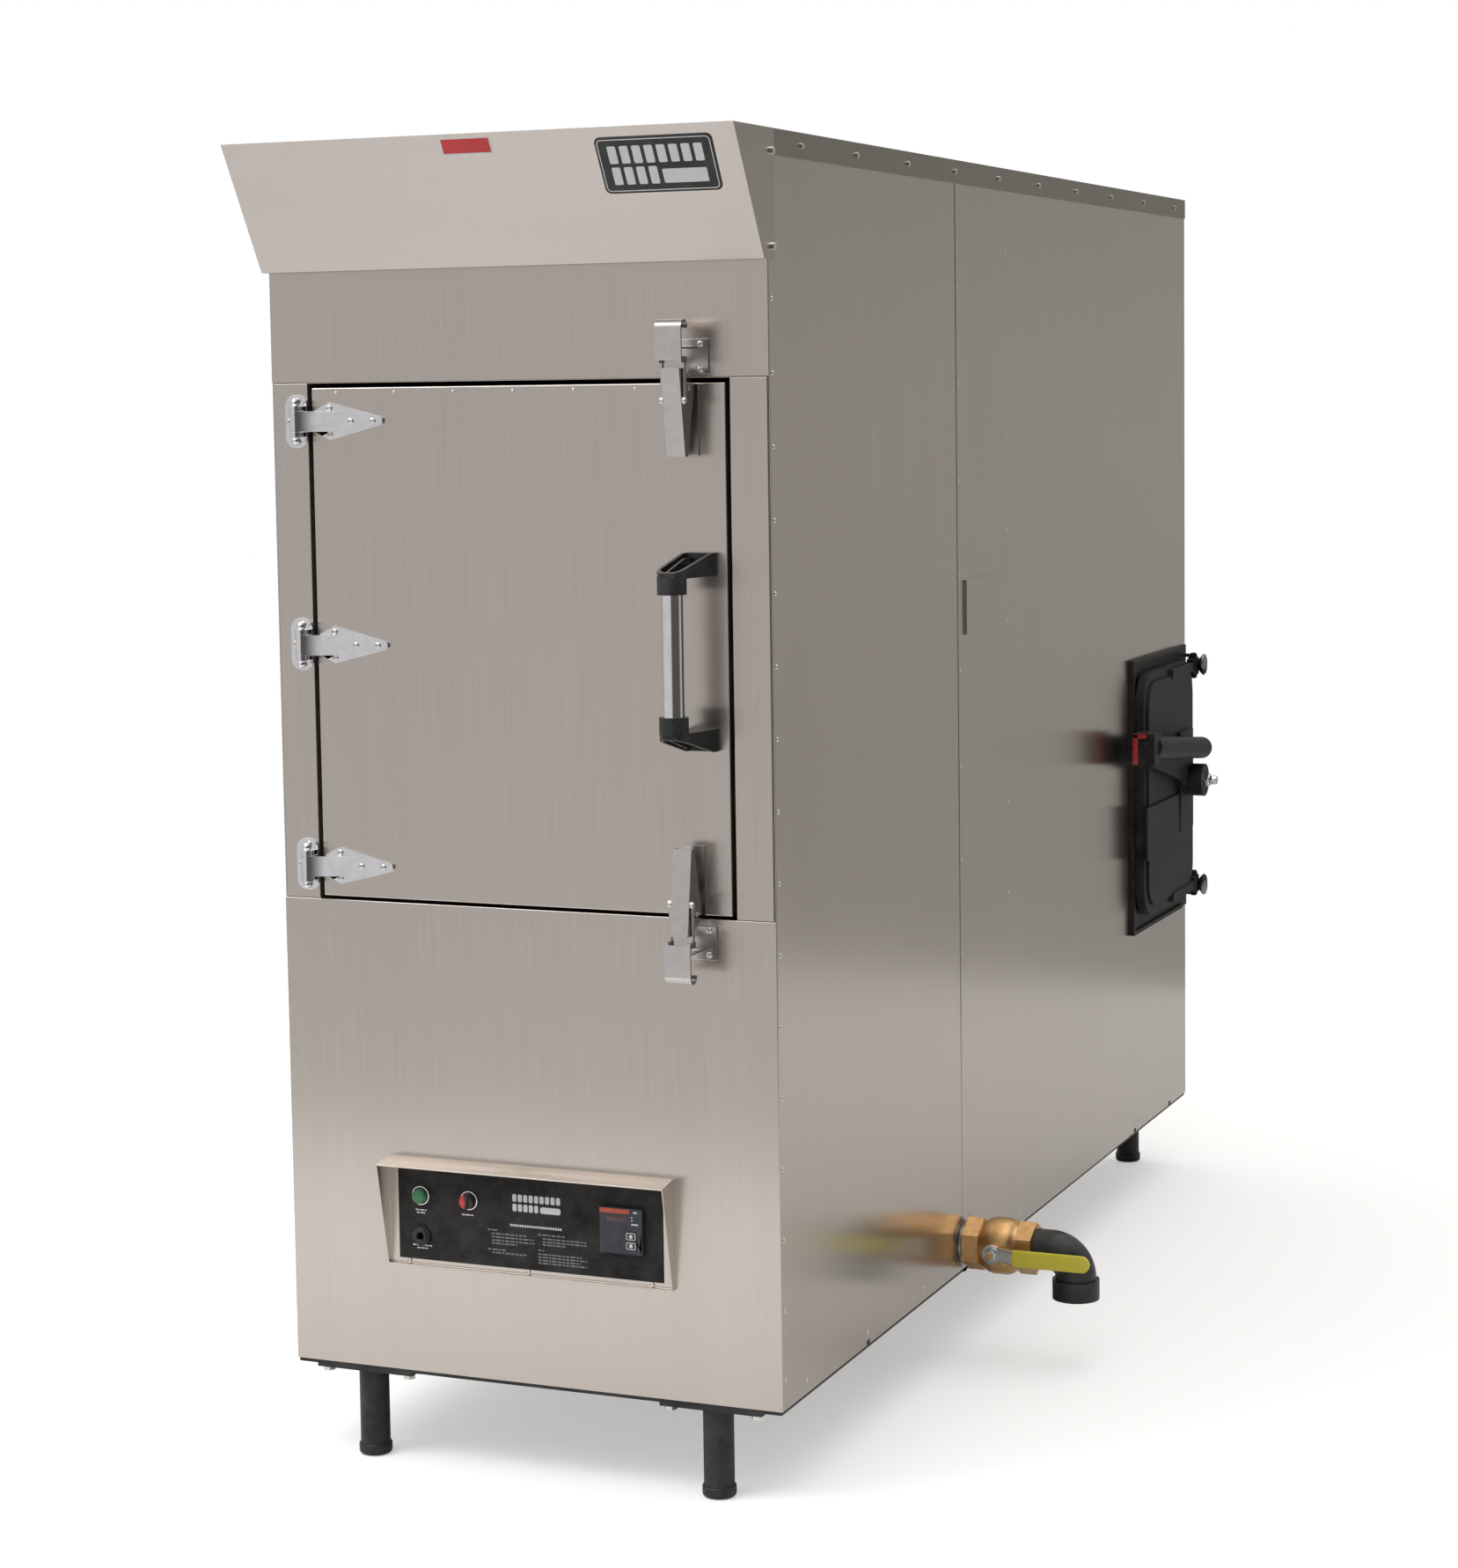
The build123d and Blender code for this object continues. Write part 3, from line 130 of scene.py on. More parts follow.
def frame_slab(outer, inner, low, high, edge):
    """Flat ring between two outlines of equally many points."""
    rings = []
    for outline, sign in ((outer, 1), (inner, -1)):
        levels = [(0, low), (0, high - edge), (edge * 0.3, high - edge * 0.3), (edge, high)]
        if sign < 0:
            levels.reverse()
        for distance, level in levels:
            rings.append([(x, y, level) for x, y in inset(outline, distance * sign)])
    rings.append(rings[0])
    return skin(rings, closed_ends=False)


def half_disc(r, start, steps=14):
    """Half of a disc, from a start angle on."""
    return [(r * cos(radians(start + 180 * n / steps)), r * sin(radians(start + 180 * n / steps)))
            for n in range(steps + 1)]


def polygon(sides, r, turn=0.0):
    return [(r * cos(turn + 2 * pi * n / sides), r * sin(turn + 2 * pi * n / sides)) for n in range(sides)]


def screw_head(r, height, recess=True, count=32, steps=9):
    """Pan head with a cross recess pressed into it."""
    rings = [[(r * cos(2 * pi * n / count), r * sin(2 * pi * n / count), 0) for n in range(count)]]
    for k in range(steps + 1):
        share = 1 - k / steps * 0.98
        ring = []
        for n in range(count):
            angle = 2 * pi * n / count
            x, y = r * share * cos(angle), r * share * sin(angle)
            z = height * (0.45 + 0.55 * sqrt(max(0.0, 1 - share * share)))
            if recess and share < 0.62 and min(abs(x), abs(y)) < 0.17 * r:
                z -= height * 0.5
            ring.append((x, y, z))
        rings.append(ring)
    return skin(rings)


def merged(parts):
    points, faces = [], []
    for (some_points, some_faces), matrix in parts:
        start = len(points)
        points += [tuple(matrix @ Vector(p)) for p in some_points]
        faces += [tuple(start + i for i in face) for face in some_faces]
    return points, faces


def piece(name, parts, material, body, smooth=40, replaces=()):
    """Makes one object of several placed shapes in millimetres, which rides on a body."""
    points, faces = merged(parts)
    points = [tuple(Vector(p) * MM) for p in points]
    mesh = bpy.data.meshes.new(name)
    mesh.from_pydata(points, [], faces)
    bm = bmesh.new()
    bm.from_mesh(mesh)
    bmesh.ops.remove_doubles(bm, verts=bm.verts, dist=2e-6)
    bmesh.ops.recalc_face_normals(bm, faces=bm.faces)
    bm.to_mesh(mesh)
    bm.free()
    for face in mesh.polygons:
        face.use_smooth = True
    mesh.set_sharp_from_angle(angle=radians(smooth))
    mesh.materials.append(material)
    made = bpy.data.objects.new(name, mesh)
    bpy.context.scene.collection.objects.link(made)
    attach(made, body)
    if replaces:
        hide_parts(*replaces)
    return made


# ---- materials ------------------------------------------------------------------------------------
def new_material(name):
    material = bpy.data.materials.new(name)
    material.use_nodes = True
    tree = material.node_tree
    shader = tree.nodes["Principled BSDF"]
    return material, tree, shader


def noise(tree, scale, detail=3.0, kind="Object", roughness=0.55):
    """Noise over the object's own coordinates, with a scale for each axis, per metre."""
    source = tree.nodes.new("ShaderNodeTexCoord")
    mapping = tree.nodes.new("ShaderNodeMapping")
    mapping.inputs["Scale"].default_value = scale
    texture = tree.nodes.new("ShaderNodeTexNoise")
    texture.inputs["Scale"].default_value = 1.0
    texture.inputs["Detail"].default_value = detail
    texture.inputs["Roughness"].default_value = roughness
    tree.links.new(source.outputs[kind], mapping.inputs["Vector"])
    tree.links.new(mapping.outputs["Vector"], texture.inputs["Vector"])
    return texture.outputs["Fac"]


def ranged(tree, value, low, high, from_low=0.3, from_high=0.7):
    node = tree.nodes.new("ShaderNodeMapRange")
    node.inputs["From Min"].default_value = from_low
    node.inputs["From Max"].default_value = from_high
    node.inputs["To Min"].default_value = low
    node.inputs["To Max"].default_value = high
    tree.links.new(value, node.inputs["Value"])
    return node.outputs["Result"]


def mixed(tree, value, a, b):
    """Colour between two colours by a value from 0 to 1."""
    node = tree.nodes.new("ShaderNodeMix")
    node.data_type = "RGBA"
    for socket, colour in ((node.inputs[6], a), (node.inputs[7], b)):
        if isinstance(colour, tuple):
            socket.default_value = (*colour, 1.0)
        else:
            tree.links.new(colour, socket)
    tree.links.new(value, node.inputs[0])
    return node.outputs[2]


def bumped(tree, shader, value, strength, distance):
    bump = tree.nodes.new("ShaderNodeBump")
    bump.inputs["Strength"].default_value = strength
    bump.inputs["Distance"].default_value = distance
    tree.links.new(value, bump.inputs["Height"])
    tree.links.new(bump.outputs["Normal"], shader.inputs["Normal"])


def shade(colour, k):
    return tuple(min(1.0, c * k) for c in colour)


def brushed(name, colour, rough, grain, contrast=0.05, anisotropic=0.6):
    """Brushed sheet: fine streaks along the grain, wide soft bands and faint handling marks."""
    material, tree, shader = new_material(name)
    across, along = 900.0, 6.0
    scale = tuple(along if axis == grain else across for axis in "XYZ")
    wide = tuple(0.6 if axis == grain else 28.0 for axis in "XYZ")
    fine = noise(tree, scale, 2.0)
    bands = noise(tree, wide, 2.0)
    marks = noise(tree, (3.0, 3.0, 4.0), 2.0, roughness=0.5)
    streaks = mixed(tree, ranged(tree, fine, 0, 1),
                    shade(colour, 1 - contrast), shade(colour, 1 + contrast))
    banded = mixed(tree, ranged(tree, bands, 0.0, 0.35, 0.15, 0.85),
                   streaks, shade(colour, 1 - 2.2 * contrast))
    tinted = mixed(tree, ranged(tree, marks, 0.0, 0.25, 0.1, 0.9),
                   banded, shade(colour, 1 + 1.5 * contrast))
    tree.links.new(tinted, shader.inputs["Base Color"])
    tree.links.new(ranged(tree, marks, rough - 0.03, rough + 0.03, 0.1, 0.9),
                   shader.inputs["Roughness"])
    shader.inputs["Metallic"].default_value = 1.0
    shader.inputs["Anisotropic"].default_value = anisotropic
    if grain == "Z":
        tangent = tree.nodes.new("ShaderNodeTangent")
        tangent.direction_type = "RADIAL"
        tangent.axis = "Z"
        tree.links.new(tangent.outputs["Tangent"], shader.inputs["Tangent"])
    bumped(tree, shader, fine, 0.05, 0.0002)
    return material


def polished(name, colour, rough=0.08, smudge=0.06):
    """Chrome or plated metal with faint smudges."""
    material, tree, shader = new_material(name)
    smear = noise(tree, (60.0, 60.0, 60.0), 5.0)
    smudged = mixed(tree, ranged(tree, smear, 0, 1), colour, shade(colour, 0.88))
    tree.links.new(smudged, shader.inputs["Base Color"])
    tree.links.new(ranged(tree, smear, rough, rough + smudge), shader.inputs["Roughness"])
    shader.inputs["Metallic"].default_value = 1.0
    bumped(tree, shader, noise(tree, (900.0, 900.0, 900.0), 2.0), 0.02, 0.0002)
    return material


def painted(name, colour, rough=0.45, texture=700.0, depth=0.12, spread=0.35, coat=0.0, shine=0.5):
    """Paint or plastic: orange-peel bump, uneven gloss and a little dust in the colour."""
    material, tree, shader = new_material(name)
    cloud = noise(tree, (18.0, 18.0, 18.0), 6.0, roughness=0.7)
    pale = tuple(c + (0.35 - c) * 0.10 + 0.004 for c in colour)
    dark = shade(colour, 1 - spread)
    tree.links.new(mixed(tree, ranged(tree, cloud, 0, 1), dark, pale), shader.inputs["Base Color"])
    tree.links.new(ranged(tree, cloud, rough - 0.07, rough + 0.09), shader.inputs["Roughness"])
    shader.inputs["Coat Weight"].default_value = coat
    shader.inputs["Specular IOR Level"].default_value = shine
    bumped(tree, shader, noise(tree, (texture,) * 3, 3.0), depth, 0.0004)
    return material


def cast_brass(name):
    """Sand-cast brass: mottled tone, rough skin and darker patches."""
    material, tree, shader = new_material(name)
    mottle = noise(tree, (70.0, 70.0, 70.0), 7.0, roughness=0.7)
    grit = noise(tree, (900.0, 900.0, 900.0), 3.0)
    colour = mixed(tree, ranged(tree, mottle, 0, 1), (0.74, 0.47, 0.22), (0.56, 0.33, 0.14))
    tree.links.new(colour, shader.inputs["Base Color"])
    tree.links.new(ranged(tree, mottle, 0.30, 0.46), shader.inputs["Roughness"])
    shader.inputs["Metallic"].default_value = 1.0
    bumped(tree, shader, grit, 0.35, 0.0005)
    return material


def woolly(name):
    material, tree, shader = new_material(name)
    fibres = noise(tree, (220.0, 220.0, 900.0), 8.0, roughness=0.8)
    tree.links.new(mixed(tree, ranged(tree, fibres, 0, 1), (0.42, 0.36, 0.24), (0.62, 0.56, 0.42)),
                   shader.inputs["Base Color"])
    shader.inputs["Roughness"].default_value = 0.95
    bumped(tree, shader, fibres, 0.8, 0.002)
    return material


def burnt_steel(name):
    """Firebox steel: blued and sooty in clouds."""
    material, tree, shader = new_material(name)
    soot = noise(tree, (7.0, 7.0, 7.0), 8.0, roughness=0.7)
    tree.links.new(mixed(tree, ranged(tree, soot, 0, 1), (0.10, 0.095, 0.10), (0.28, 0.24, 0.20)),
                   shader.inputs["Base Color"])
    tree.links.new(ranged(tree, soot, 0.75, 0.45), shader.inputs["Roughness"])
    shader.inputs["Metallic"].default_value = 0.7
    bumped(tree, shader, noise(tree, (300.0, 300.0, 300.0), 4.0), 0.2, 0.0005)
    return material


STEEL = (0.60, 0.548, 0.502)
MATERIALS = {
    "stainless_skin": brushed("stainless_skin", STEEL, 0.23, "Z"),
    # hood steel: the stainless made darker, painted shade standing for the darker look of the hood and its
    # cheeks
    "hood_stainless": brushed("hood_stainless", (0.53, 0.485, 0.455), 0.24, "Z"),
    # roof flange steel: the stainless made much darker, partly a different sheet and partly painted shade for
    # how the tilted flange takes the light
    "roof_stainless": brushed("roof_stainless", (0.36, 0.33, 0.30), 0.34, "Y"),
    "liner_stainless": brushed("liner_stainless", (0.50, 0.45, 0.39), 0.38, "Z", 0.10),
    "chrome": polished("chrome", (0.86, 0.86, 0.88)),
    "latch_steel": polished("latch_steel", (0.64, 0.62, 0.61), 0.16, 0.08),
    "zinc_screw": polished("zinc_screw", (0.78, 0.77, 0.74), 0.18, 0.12),
    "black_paint": painted("black_paint", (0.014, 0.014, 0.014), 0.42, shine=0.35),
    "fire_black": painted("fire_black", (0.017, 0.015, 0.014), 0.5, 300.0, 0.25, shine=0.15),
    "firebox_steel": burnt_steel("firebox_steel"),
    "black_plastic": painted("black_plastic", (0.012, 0.012, 0.012), 0.36, 900.0, 0.2, shine=0.35),
    "panel_black": painted("panel_black", (0.016, 0.013, 0.011), 0.55, 1200.0, 0.05, shine=0.12),
    "controller_navy": painted("controller_navy", (0.018, 0.022, 0.038), 0.40, 1500.0, 0.1),
    "key_plastic": painted("key_plastic", (0.030, 0.034, 0.050), 0.45, 1500.0, 0.08),
    "green_plastic": painted("green_plastic", (0.012, 0.175, 0.050), 0.28, 900.0, 0.03, 0.2, 0.3),
    "red_plastic": painted("red_plastic", (0.60, 0.010, 0.015), 0.25, 900.0, 0.03, 0.2, 0.3),
    "brass": cast_brass("brass"),
    "valve_chrome": polished("valve_chrome", (0.62, 0.62, 0.62), 0.18, 0.10),
    "yellow_vinyl": painted("yellow_vinyl", (0.80, 0.72, 0.045), 0.36, 500.0, 0.05, 0.10),
    "pipe_steel": polished("pipe_steel", (0.55, 0.53, 0.50), 0.28, 0.12),
    "abs_black": painted("abs_black", (0.009, 0.009, 0.009), 0.26, 600.0, 0.05, 0.3, 0.1, 0.35),
    "mineral_wool": woolly("mineral_wool"),
    "gasket": painted("gasket", (0.035, 0.030, 0.028), 0.85, 400.0, 0.5),
    "machine_steel": brushed("machine_steel", (0.52, 0.50, 0.48), 0.32, "Y", 0.08, 0.2),
    "motor_paint": painted("motor_paint", (0.05, 0.09, 0.14), 0.45),
    "chain_steel": polished("chain_steel", (0.32, 0.30, 0.28), 0.35, 0.12),
    "element_sheath": burnt_steel("element_sheath"),
}
VISOR_STEEL = brushed("visor_stainless", STEEL, 0.26, "X")
WHITE_PRINT = painted("white_print", (0.70, 0.70, 0.70), 0.5, 900.0, 0.02, 0.08)
GREY_PRINT = painted("grey_print", (0.20, 0.195, 0.19), 0.5, 900.0, 0.02, 0.08)
LABEL_RED = painted("label_red", (0.62, 0.012, 0.018), 0.40, 900.0, 0.02, 0.12)
STRIP_ORANGE = painted("strip_orange", (0.55, 0.075, 0.030), 0.35, 900.0, 0.02, 0.15)
DISPLAY_RED = painted("display_red", (0.060, 0.012, 0.016), 0.15, 900.0, 0.01, 0.2, 0.5)


def smooth_modifier_group():
    """Joins the split vertices of a CAD mesh and smooths it up to a sharp angle."""
    group = bpy.data.node_groups.new("smooth_cad", "GeometryNodeTree")
    group.interface.new_socket("Geometry", in_out="INPUT", socket_type="NodeSocketGeometry")
    group.interface.new_socket("Geometry", in_out="OUTPUT", socket_type="NodeSocketGeometry")
    nodes, links = group.nodes, group.links
    start, end = nodes.new("NodeGroupInput"), nodes.new("NodeGroupOutput")
    drop = nodes.new("GeometryNodeRemoveAttribute")
    drop.inputs["Name"].default_value = "custom_normal"
    merge = nodes.new("GeometryNodeMergeByDistance")
    merge.inputs["Distance"].default_value = 1e-5
    faces = nodes.new("GeometryNodeSetShadeSmooth")
    faces.domain = "FACE"
    edges = nodes.new("GeometryNodeSetShadeSmooth")
    edges.domain = "EDGE"
    angle = nodes.new("GeometryNodeInputMeshEdgeAngle")
    compare = nodes.new("FunctionNodeCompare")
    compare.data_type = "FLOAT"
    compare.operation = "LESS_THAN"
    compare.inputs[1].default_value = radians(32)
    links.new(start.outputs[0], drop.inputs["Geometry"])
    links.new(drop.outputs["Geometry"], merge.inputs["Geometry"])
    links.new(merge.outputs["Geometry"], faces.inputs["Geometry"])
    links.new(faces.outputs["Geometry"], edges.inputs["Geometry"])
    links.new(angle.outputs["Unsigned Angle"], compare.inputs[0])
    links.new(compare.outputs["Result"], edges.inputs["Shade Smooth"])
    links.new(edges.outputs["Geometry"], end.inputs[0])
    return group


def finish_nodes():
    """Gives every CAD node its material and smooth shading, and the nodes listed in EDGE_WIDTHS a small
    rounding of their edges.
    """
    slots = {}
    for row in frame["record"]["subparts"]:
        slots[row["node"]] = row["material_slot"]
    group = smooth_modifier_group()
    for name, node in NODES.items():
        material = VISOR_STEEL if name == "control_housing" else MATERIALS[slots[name]]
        if not node.material_slots:
            node.data.materials.append(material)
        for n in range(len(node.material_slots)):
            node.material_slots[n].material = material
        smooth = node.modifiers.new("smooth", "NODES")
        smooth.node_group = group
        if name in EDGE_WIDTHS:
            bevel = node.modifiers.new("edges", "BEVEL")
            bevel.width = EDGE_WIDTHS[name]
            bevel.segments = 2
            bevel.limit_method = "ANGLE"
            bevel.angle_limit = radians(50)
            bevel.harden_normals = True


EDGE_WIDTHS = {
    "side_panel_right": 0.8 * MM, "front_panel_upper": 0.8 * MM, "front_strips": 0.8 * MM,
    "front_panel_lower": 0.8 * MM, "door_shell": 1.9 * MM, "hood": 0.7 * MM, "roof_cap": 0.6 * MM,
    "side_cover_plate": 1.2 * MM, "handle_brackets": 0.9 * MM, "latch_lever_upper": 0.8 * MM,
    "latch_lever_lower": 0.8 * MM, "latch_keepers": 0.7 * MM, "latch_bases": 0.7 * MM,
    "hinge_straps": 1.2 * MM,
    "hinge_plates": 1.0 * MM, "fire_door_frame": 1.0 * MM, "fire_door_handle": 2.0 * MM,
    "control_housing": 0.5 * MM, "temperature_controller": 0.8 * MM, "valve_body": 1.5 * MM,
}


# ---- places in millimetres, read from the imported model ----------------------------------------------
def box_mm(node):
    low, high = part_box(node)
    return Vector(low) / MM, Vector(high) / MM


def middle_of(node):
    low, high = box_mm(node)
    return (low + high) / 2


FRONT = box_mm("front_panel_lower")[0].y
BASE = box_mm("front_panel_lower")[0].z
HALF = box_mm("side_panel_right")[1].x
TOP = box_mm("roof_cap")[1].z
DOOR_MID = middle_of("hinge_straps").z
HINGE_PITCH = 308
FACE_FRONT = box_mm("control_face")[0].y
VALVE = middle_of("valve_body")
SIDE_SEAM_Y = middle_of("drain_elbow").y


def hardware_screws():
    """Cross-recess screws of the hinges, the latch keepers and the visor, and the handle bolts."""
    on_door, on_cabinet = [], []
    head, small, bolt = screw_head(4.2, 2.4), screw_head(3.3, 2.0), screw_head(4.6, 3.2)
    for n in (-1, 0, 1):
        z = DOOR_MID + n * HINGE_PITCH
        for x, dz in ((-279, 18), (-279, -18), (-246, 0), (-212, 0)):
            on_door.append((head, at(x, FRONT - 4, z + dz, TO_FRONT)))
        for x, dz in ((-342, 0), (-329, 28), (-329, -28)):
            on_cabinet.append((head, at(x, FRONT - 3, z + dz, TO_FRONT)))
    for side in (-1, 1):
        on_door.append((bolt, at(275, FRONT - 8, DOOR_MID + side * 117, TO_FRONT)))
        for height in (404, 371):
            on_cabinet.append((head, at(276, FRONT - 3, DOOR_MID + side * height, TO_FRONT)))
    for x in (-186, -2, 184):
        for z in (428, 293.3):
            on_cabinet.append((small, at(x, FRONT - 1.6, z, TO_FRONT)))
    piece("door_screws", on_door, MATERIALS["zinc_screw"], "door")
    piece("cabinet_screws", on_cabinet, MATERIALS["zinc_screw"], "cabinet")


def door_rivets():
    """Small bright heads along the top edge of the door."""
    z = box_mm("door_shell")[1].z - 7
    head = lathe([(2.0, 0), (1.8, 0.6), (1.1, 1.0), (0.1, 1.1)], 16)
    rivets = [(head, at(x, FRONT, z, TO_FRONT)) for x in range(-270, 271, 90)]
    piece("door_rivets", rivets, MATERIALS["zinc_screw"], "door")


def on_hood(x, below):
    """Place on the slanted face of the hood: x, and the distance below its top edge."""
    low, high = box_mm("hood")
    foot = Vector((0, FRONT - 16, low.z))
    edge = Vector((0, low.y, high.z))
    up = (edge - foot).normalized()
    out = Vector((1, 0, 0)).cross(up)
    facing = Matrix(((1, 0, 0), (0, up.y, out.y), (0, up.z, out.z)))
    point = edge - up * below
    return at(x, point.y, point.z, facing)


def hood_labels():
    """Blank plaque and a blank red label on the slanted face."""
    place = on_hood(257, 55)
    plaque = slab(rounded_rect(164, 80, 8), 0, 1.4, 0.6)
    marks = [(frame_slab(rounded_rect(158, 74, 6), rounded_rect(155.4, 71.4, 4.7), 1.3, 1.55, 0.1), place)]
    tile, bar = slab(rounded_rect(12, 25, 2), 1.3, 1.55), slab(rounded_rect(62, 20, 2), 1.3, 1.55)
    tall, pitch = 15, 17.2
    marks += [(tile, place @ at(-60 + n * pitch, tall, 0)) for n in range(8)]
    marks += [(tile, place @ at(-60 + n * pitch, -tall, 0)) for n in range(4)]
    marks.append((bar, place @ at(35, -tall - 2, 0)))
    piece("hood_plaque", [(plaque, place)], MATERIALS["black_plastic"], "cabinet")
    piece("hood_plaque_marks", marks, WHITE_PRINT, "cabinet")
    place = on_hood(-8.5, 18)
    white = slab(rounded_rect(73, 24, 2), 0, 0.3, 0.1)
    red = slab(rounded_rect(69.5, 20.5, 1), 0.3, 0.5, 0.1)
    piece("hood_label_white", [(white, place)], WHITE_PRINT, "cabinet")
    piece("hood_label_red", [(red, place)], LABEL_RED, "cabinet")


def print_row(left, right, z, high, words=(5, 8, 3, 7, 6, 4), gap=1.5):
    """Row of blank bars on the face plate, in place of printed words."""
    row, x, n = [], left, 0
    while x < right - 1:
        wide = min(words[n % len(words)], right - x)
        shape = slab(rounded_rect(wide, high, min(wide, high) * 0.3, 2), 0, 0.15)
        row.append((shape, at(x + wide / 2, FACE_FRONT, z, TO_FRONT)))
        x += wide + gap
        n += 1
    return row


def face_print():
    """Blank bars where the face plate carries its print."""
    white = print_row(-24, 49, 396, 10.5, (6.2,), 2.1) + print_row(-24, 15, 382.5, 10.5, (6.2,), 2.1)
    white += print_row(18, 49, 381.8, 9, (31,))
    white += print_row(-28, 52, 357.5, 3.4, (2.4,), 1.2)
    captions = ((-166, 17, 367), (-166, 14, 363), (-93, 19, 366), (-165, 30, 317), (-165, 17, 313))
    for middle, width, z in captions:
        white += print_row(middle - width / 2, middle + width / 2, z, 1.9, (5, 7, 4), 1.0)
    grey = []
    left_rows = ((-63, -47, 348.5), (-57, -4, 343.5), (-57, 8, 338.8), (-57, 9, 334), (-57, -18, 329.8),
                 (-63, -35, 321), (-57, -4, 316.8))
    right_rows = ((14, 57, 347.5), (21, 87, 342.3), (21, 87, 338), (21, 58, 334), (14, 23, 325.7),
                  (14, 80, 320.4), (14, 87, 316.2), (14, 78, 312), (14, 87, 308))
    for left, right, z in left_rows + right_rows:
        grey += print_row(left, right, z, 1.9)
    piece("face_print_white", white, WHITE_PRINT, "cabinet")
    piece("face_print_grey", grey, GREY_PRINT, "cabinet")


def control_rings():
    """Chrome rings of the button and the selector, and the nut of the pedal socket."""
    ring = ring_lathe([(11.1, 0), (14.2, 0), (14.2, 1.4), (13.2, 3.2), (12.0, 3.4), (11.1, 2.6)])
    rings = []
    for node in ("advance_button", "selector_knob"):
        place = middle_of(node)
        rings.append((ring, at(place.x, FACE_FRONT, place.z, TO_FRONT)))
    piece("control_rings", rings, MATERIALS["chrome"], "cabinet")
    socket_low = box_mm("pedal_socket")[0]
    place = middle_of("pedal_socket")
    nut = ring_lathe([(5.4, 0), (10.8, 0), (10.8, 1.6), (9.6, 2.6), (6.4, 2.6), (5.4, 1.6)])
    piece("pedal_nut", [(nut, at(place.x, socket_low.y, place.z, TO_FRONT))], MATERIALS["black_plastic"],
          "cabinet")


def button_and_knob():
    """Domed face of the green button, and the two-coloured selector knob with its pointer ridge."""
    low = box_mm("advance_button")[0]
    place = middle_of("advance_button")
    face = lathe([(9.3, -0.2), (9.2, 0.6), (7.6, 1.3), (4.0, 1.9), (0.1, 2.1)])
    piece("button_face", [(face, at(place.x, low.y, place.z, TO_FRONT))], MATERIALS["green_plastic"],
          "advance_button")
    low = box_mm("selector_knob")[0]
    place = middle_of("selector_knob")
    tall = FACE_FRONT - low.y
    facing = at(place.x, FACE_FRONT, place.z, TO_FRONT)
    red = [(slab(half_disc(10.6, 105), 1, tall - 3, 1.5), facing)]
    black = [(slab(half_disc(10.6, 285), 1, tall - 3, 1.5), facing)]
    pointer = slab([(-1.2, -9.6), (2.6, -9.0), (5.0, 8.0), (2.0, 9.6)], tall - 5, tall, 0.8)
    black.append((pointer, facing))
    piece("selector_red_half", red, MATERIALS["red_plastic"], "selector",
          replaces=("selector_knob",))
    piece("selector_black_half", black, MATERIALS["black_plastic"], "selector")


def arrow(direction):
    """Short fat arrow, pointing up or down."""
    points = [(0, 3.0), (-3.6, -0.2), (-1.8, -0.2), (-1.8, -2.8), (1.8, -2.8), (1.8, -0.2), (3.6, -0.2)]
    if direction < 0:
        return [(-x, -y) for x, y in points]
    return points


def controller_face():
    """Display window, colour strip, lamps and the marks on the keys."""
    low, high = box_mm("temperature_controller")
    y = low.y
    strip = slab(rounded_rect(44, 6.4, 0.8), 0, 0.4, 0.1)
    piece("controller_strip", [(strip, at(low.x + 23, y, high.z - 4.4, TO_FRONT))], STRIP_ORANGE,
          "cabinet")
    window = slab(rounded_rect(30, 8, 1), 0, 0.4, 0.1)
    piece("controller_window", [(window, at(low.x + 26.5, y, high.z - 14.4, TO_FRONT))], DISPLAY_RED,
          "cabinet")
    dot = lathe([(1.1, 0), (1.1, 0.3), (0.1, 0.5)], 16)
    tile, line = slab(rounded_rect(6, 2.4, 0.6), 0, 0.3), slab(rounded_rect(10, 1.8, 0.5), 0, 0.3)
    marks = [(dot, at(low.x + 49, y, high.z - 11.7, TO_FRONT)),
             (dot, at(low.x + 49, y, high.z - 16.2, TO_FRONT))]
    marks += [(tile, at(low.x + 54, y, high.z - 5, TO_FRONT)),
              (line, at(low.x + 53, y, high.z - 21.5, TO_FRONT))]
    piece("controller_marks", marks, WHITE_PRINT, "cabinet")
    for node, direction in (("key_up", 1), ("key_down", -1)):
        key_low, key_high = box_mm(node)
        place = (key_low + key_high) / 2
        wide, tall = key_high.x - key_low.x, key_high.z - key_low.z
        outer = rounded_rect(wide - 0.6, tall - 0.6, 2.4)
        inner = rounded_rect(wide - 2.4, tall - 2.4, 1.5)
        facing = at(place.x, key_low.y, place.z, TO_FRONT)
        marks = [(frame_slab(outer, inner, 0, 0.25, 0.05), facing), (slab(arrow(direction), 0, 0.25), facing)]
        piece(node + "_marks", marks, WHITE_PRINT, node)


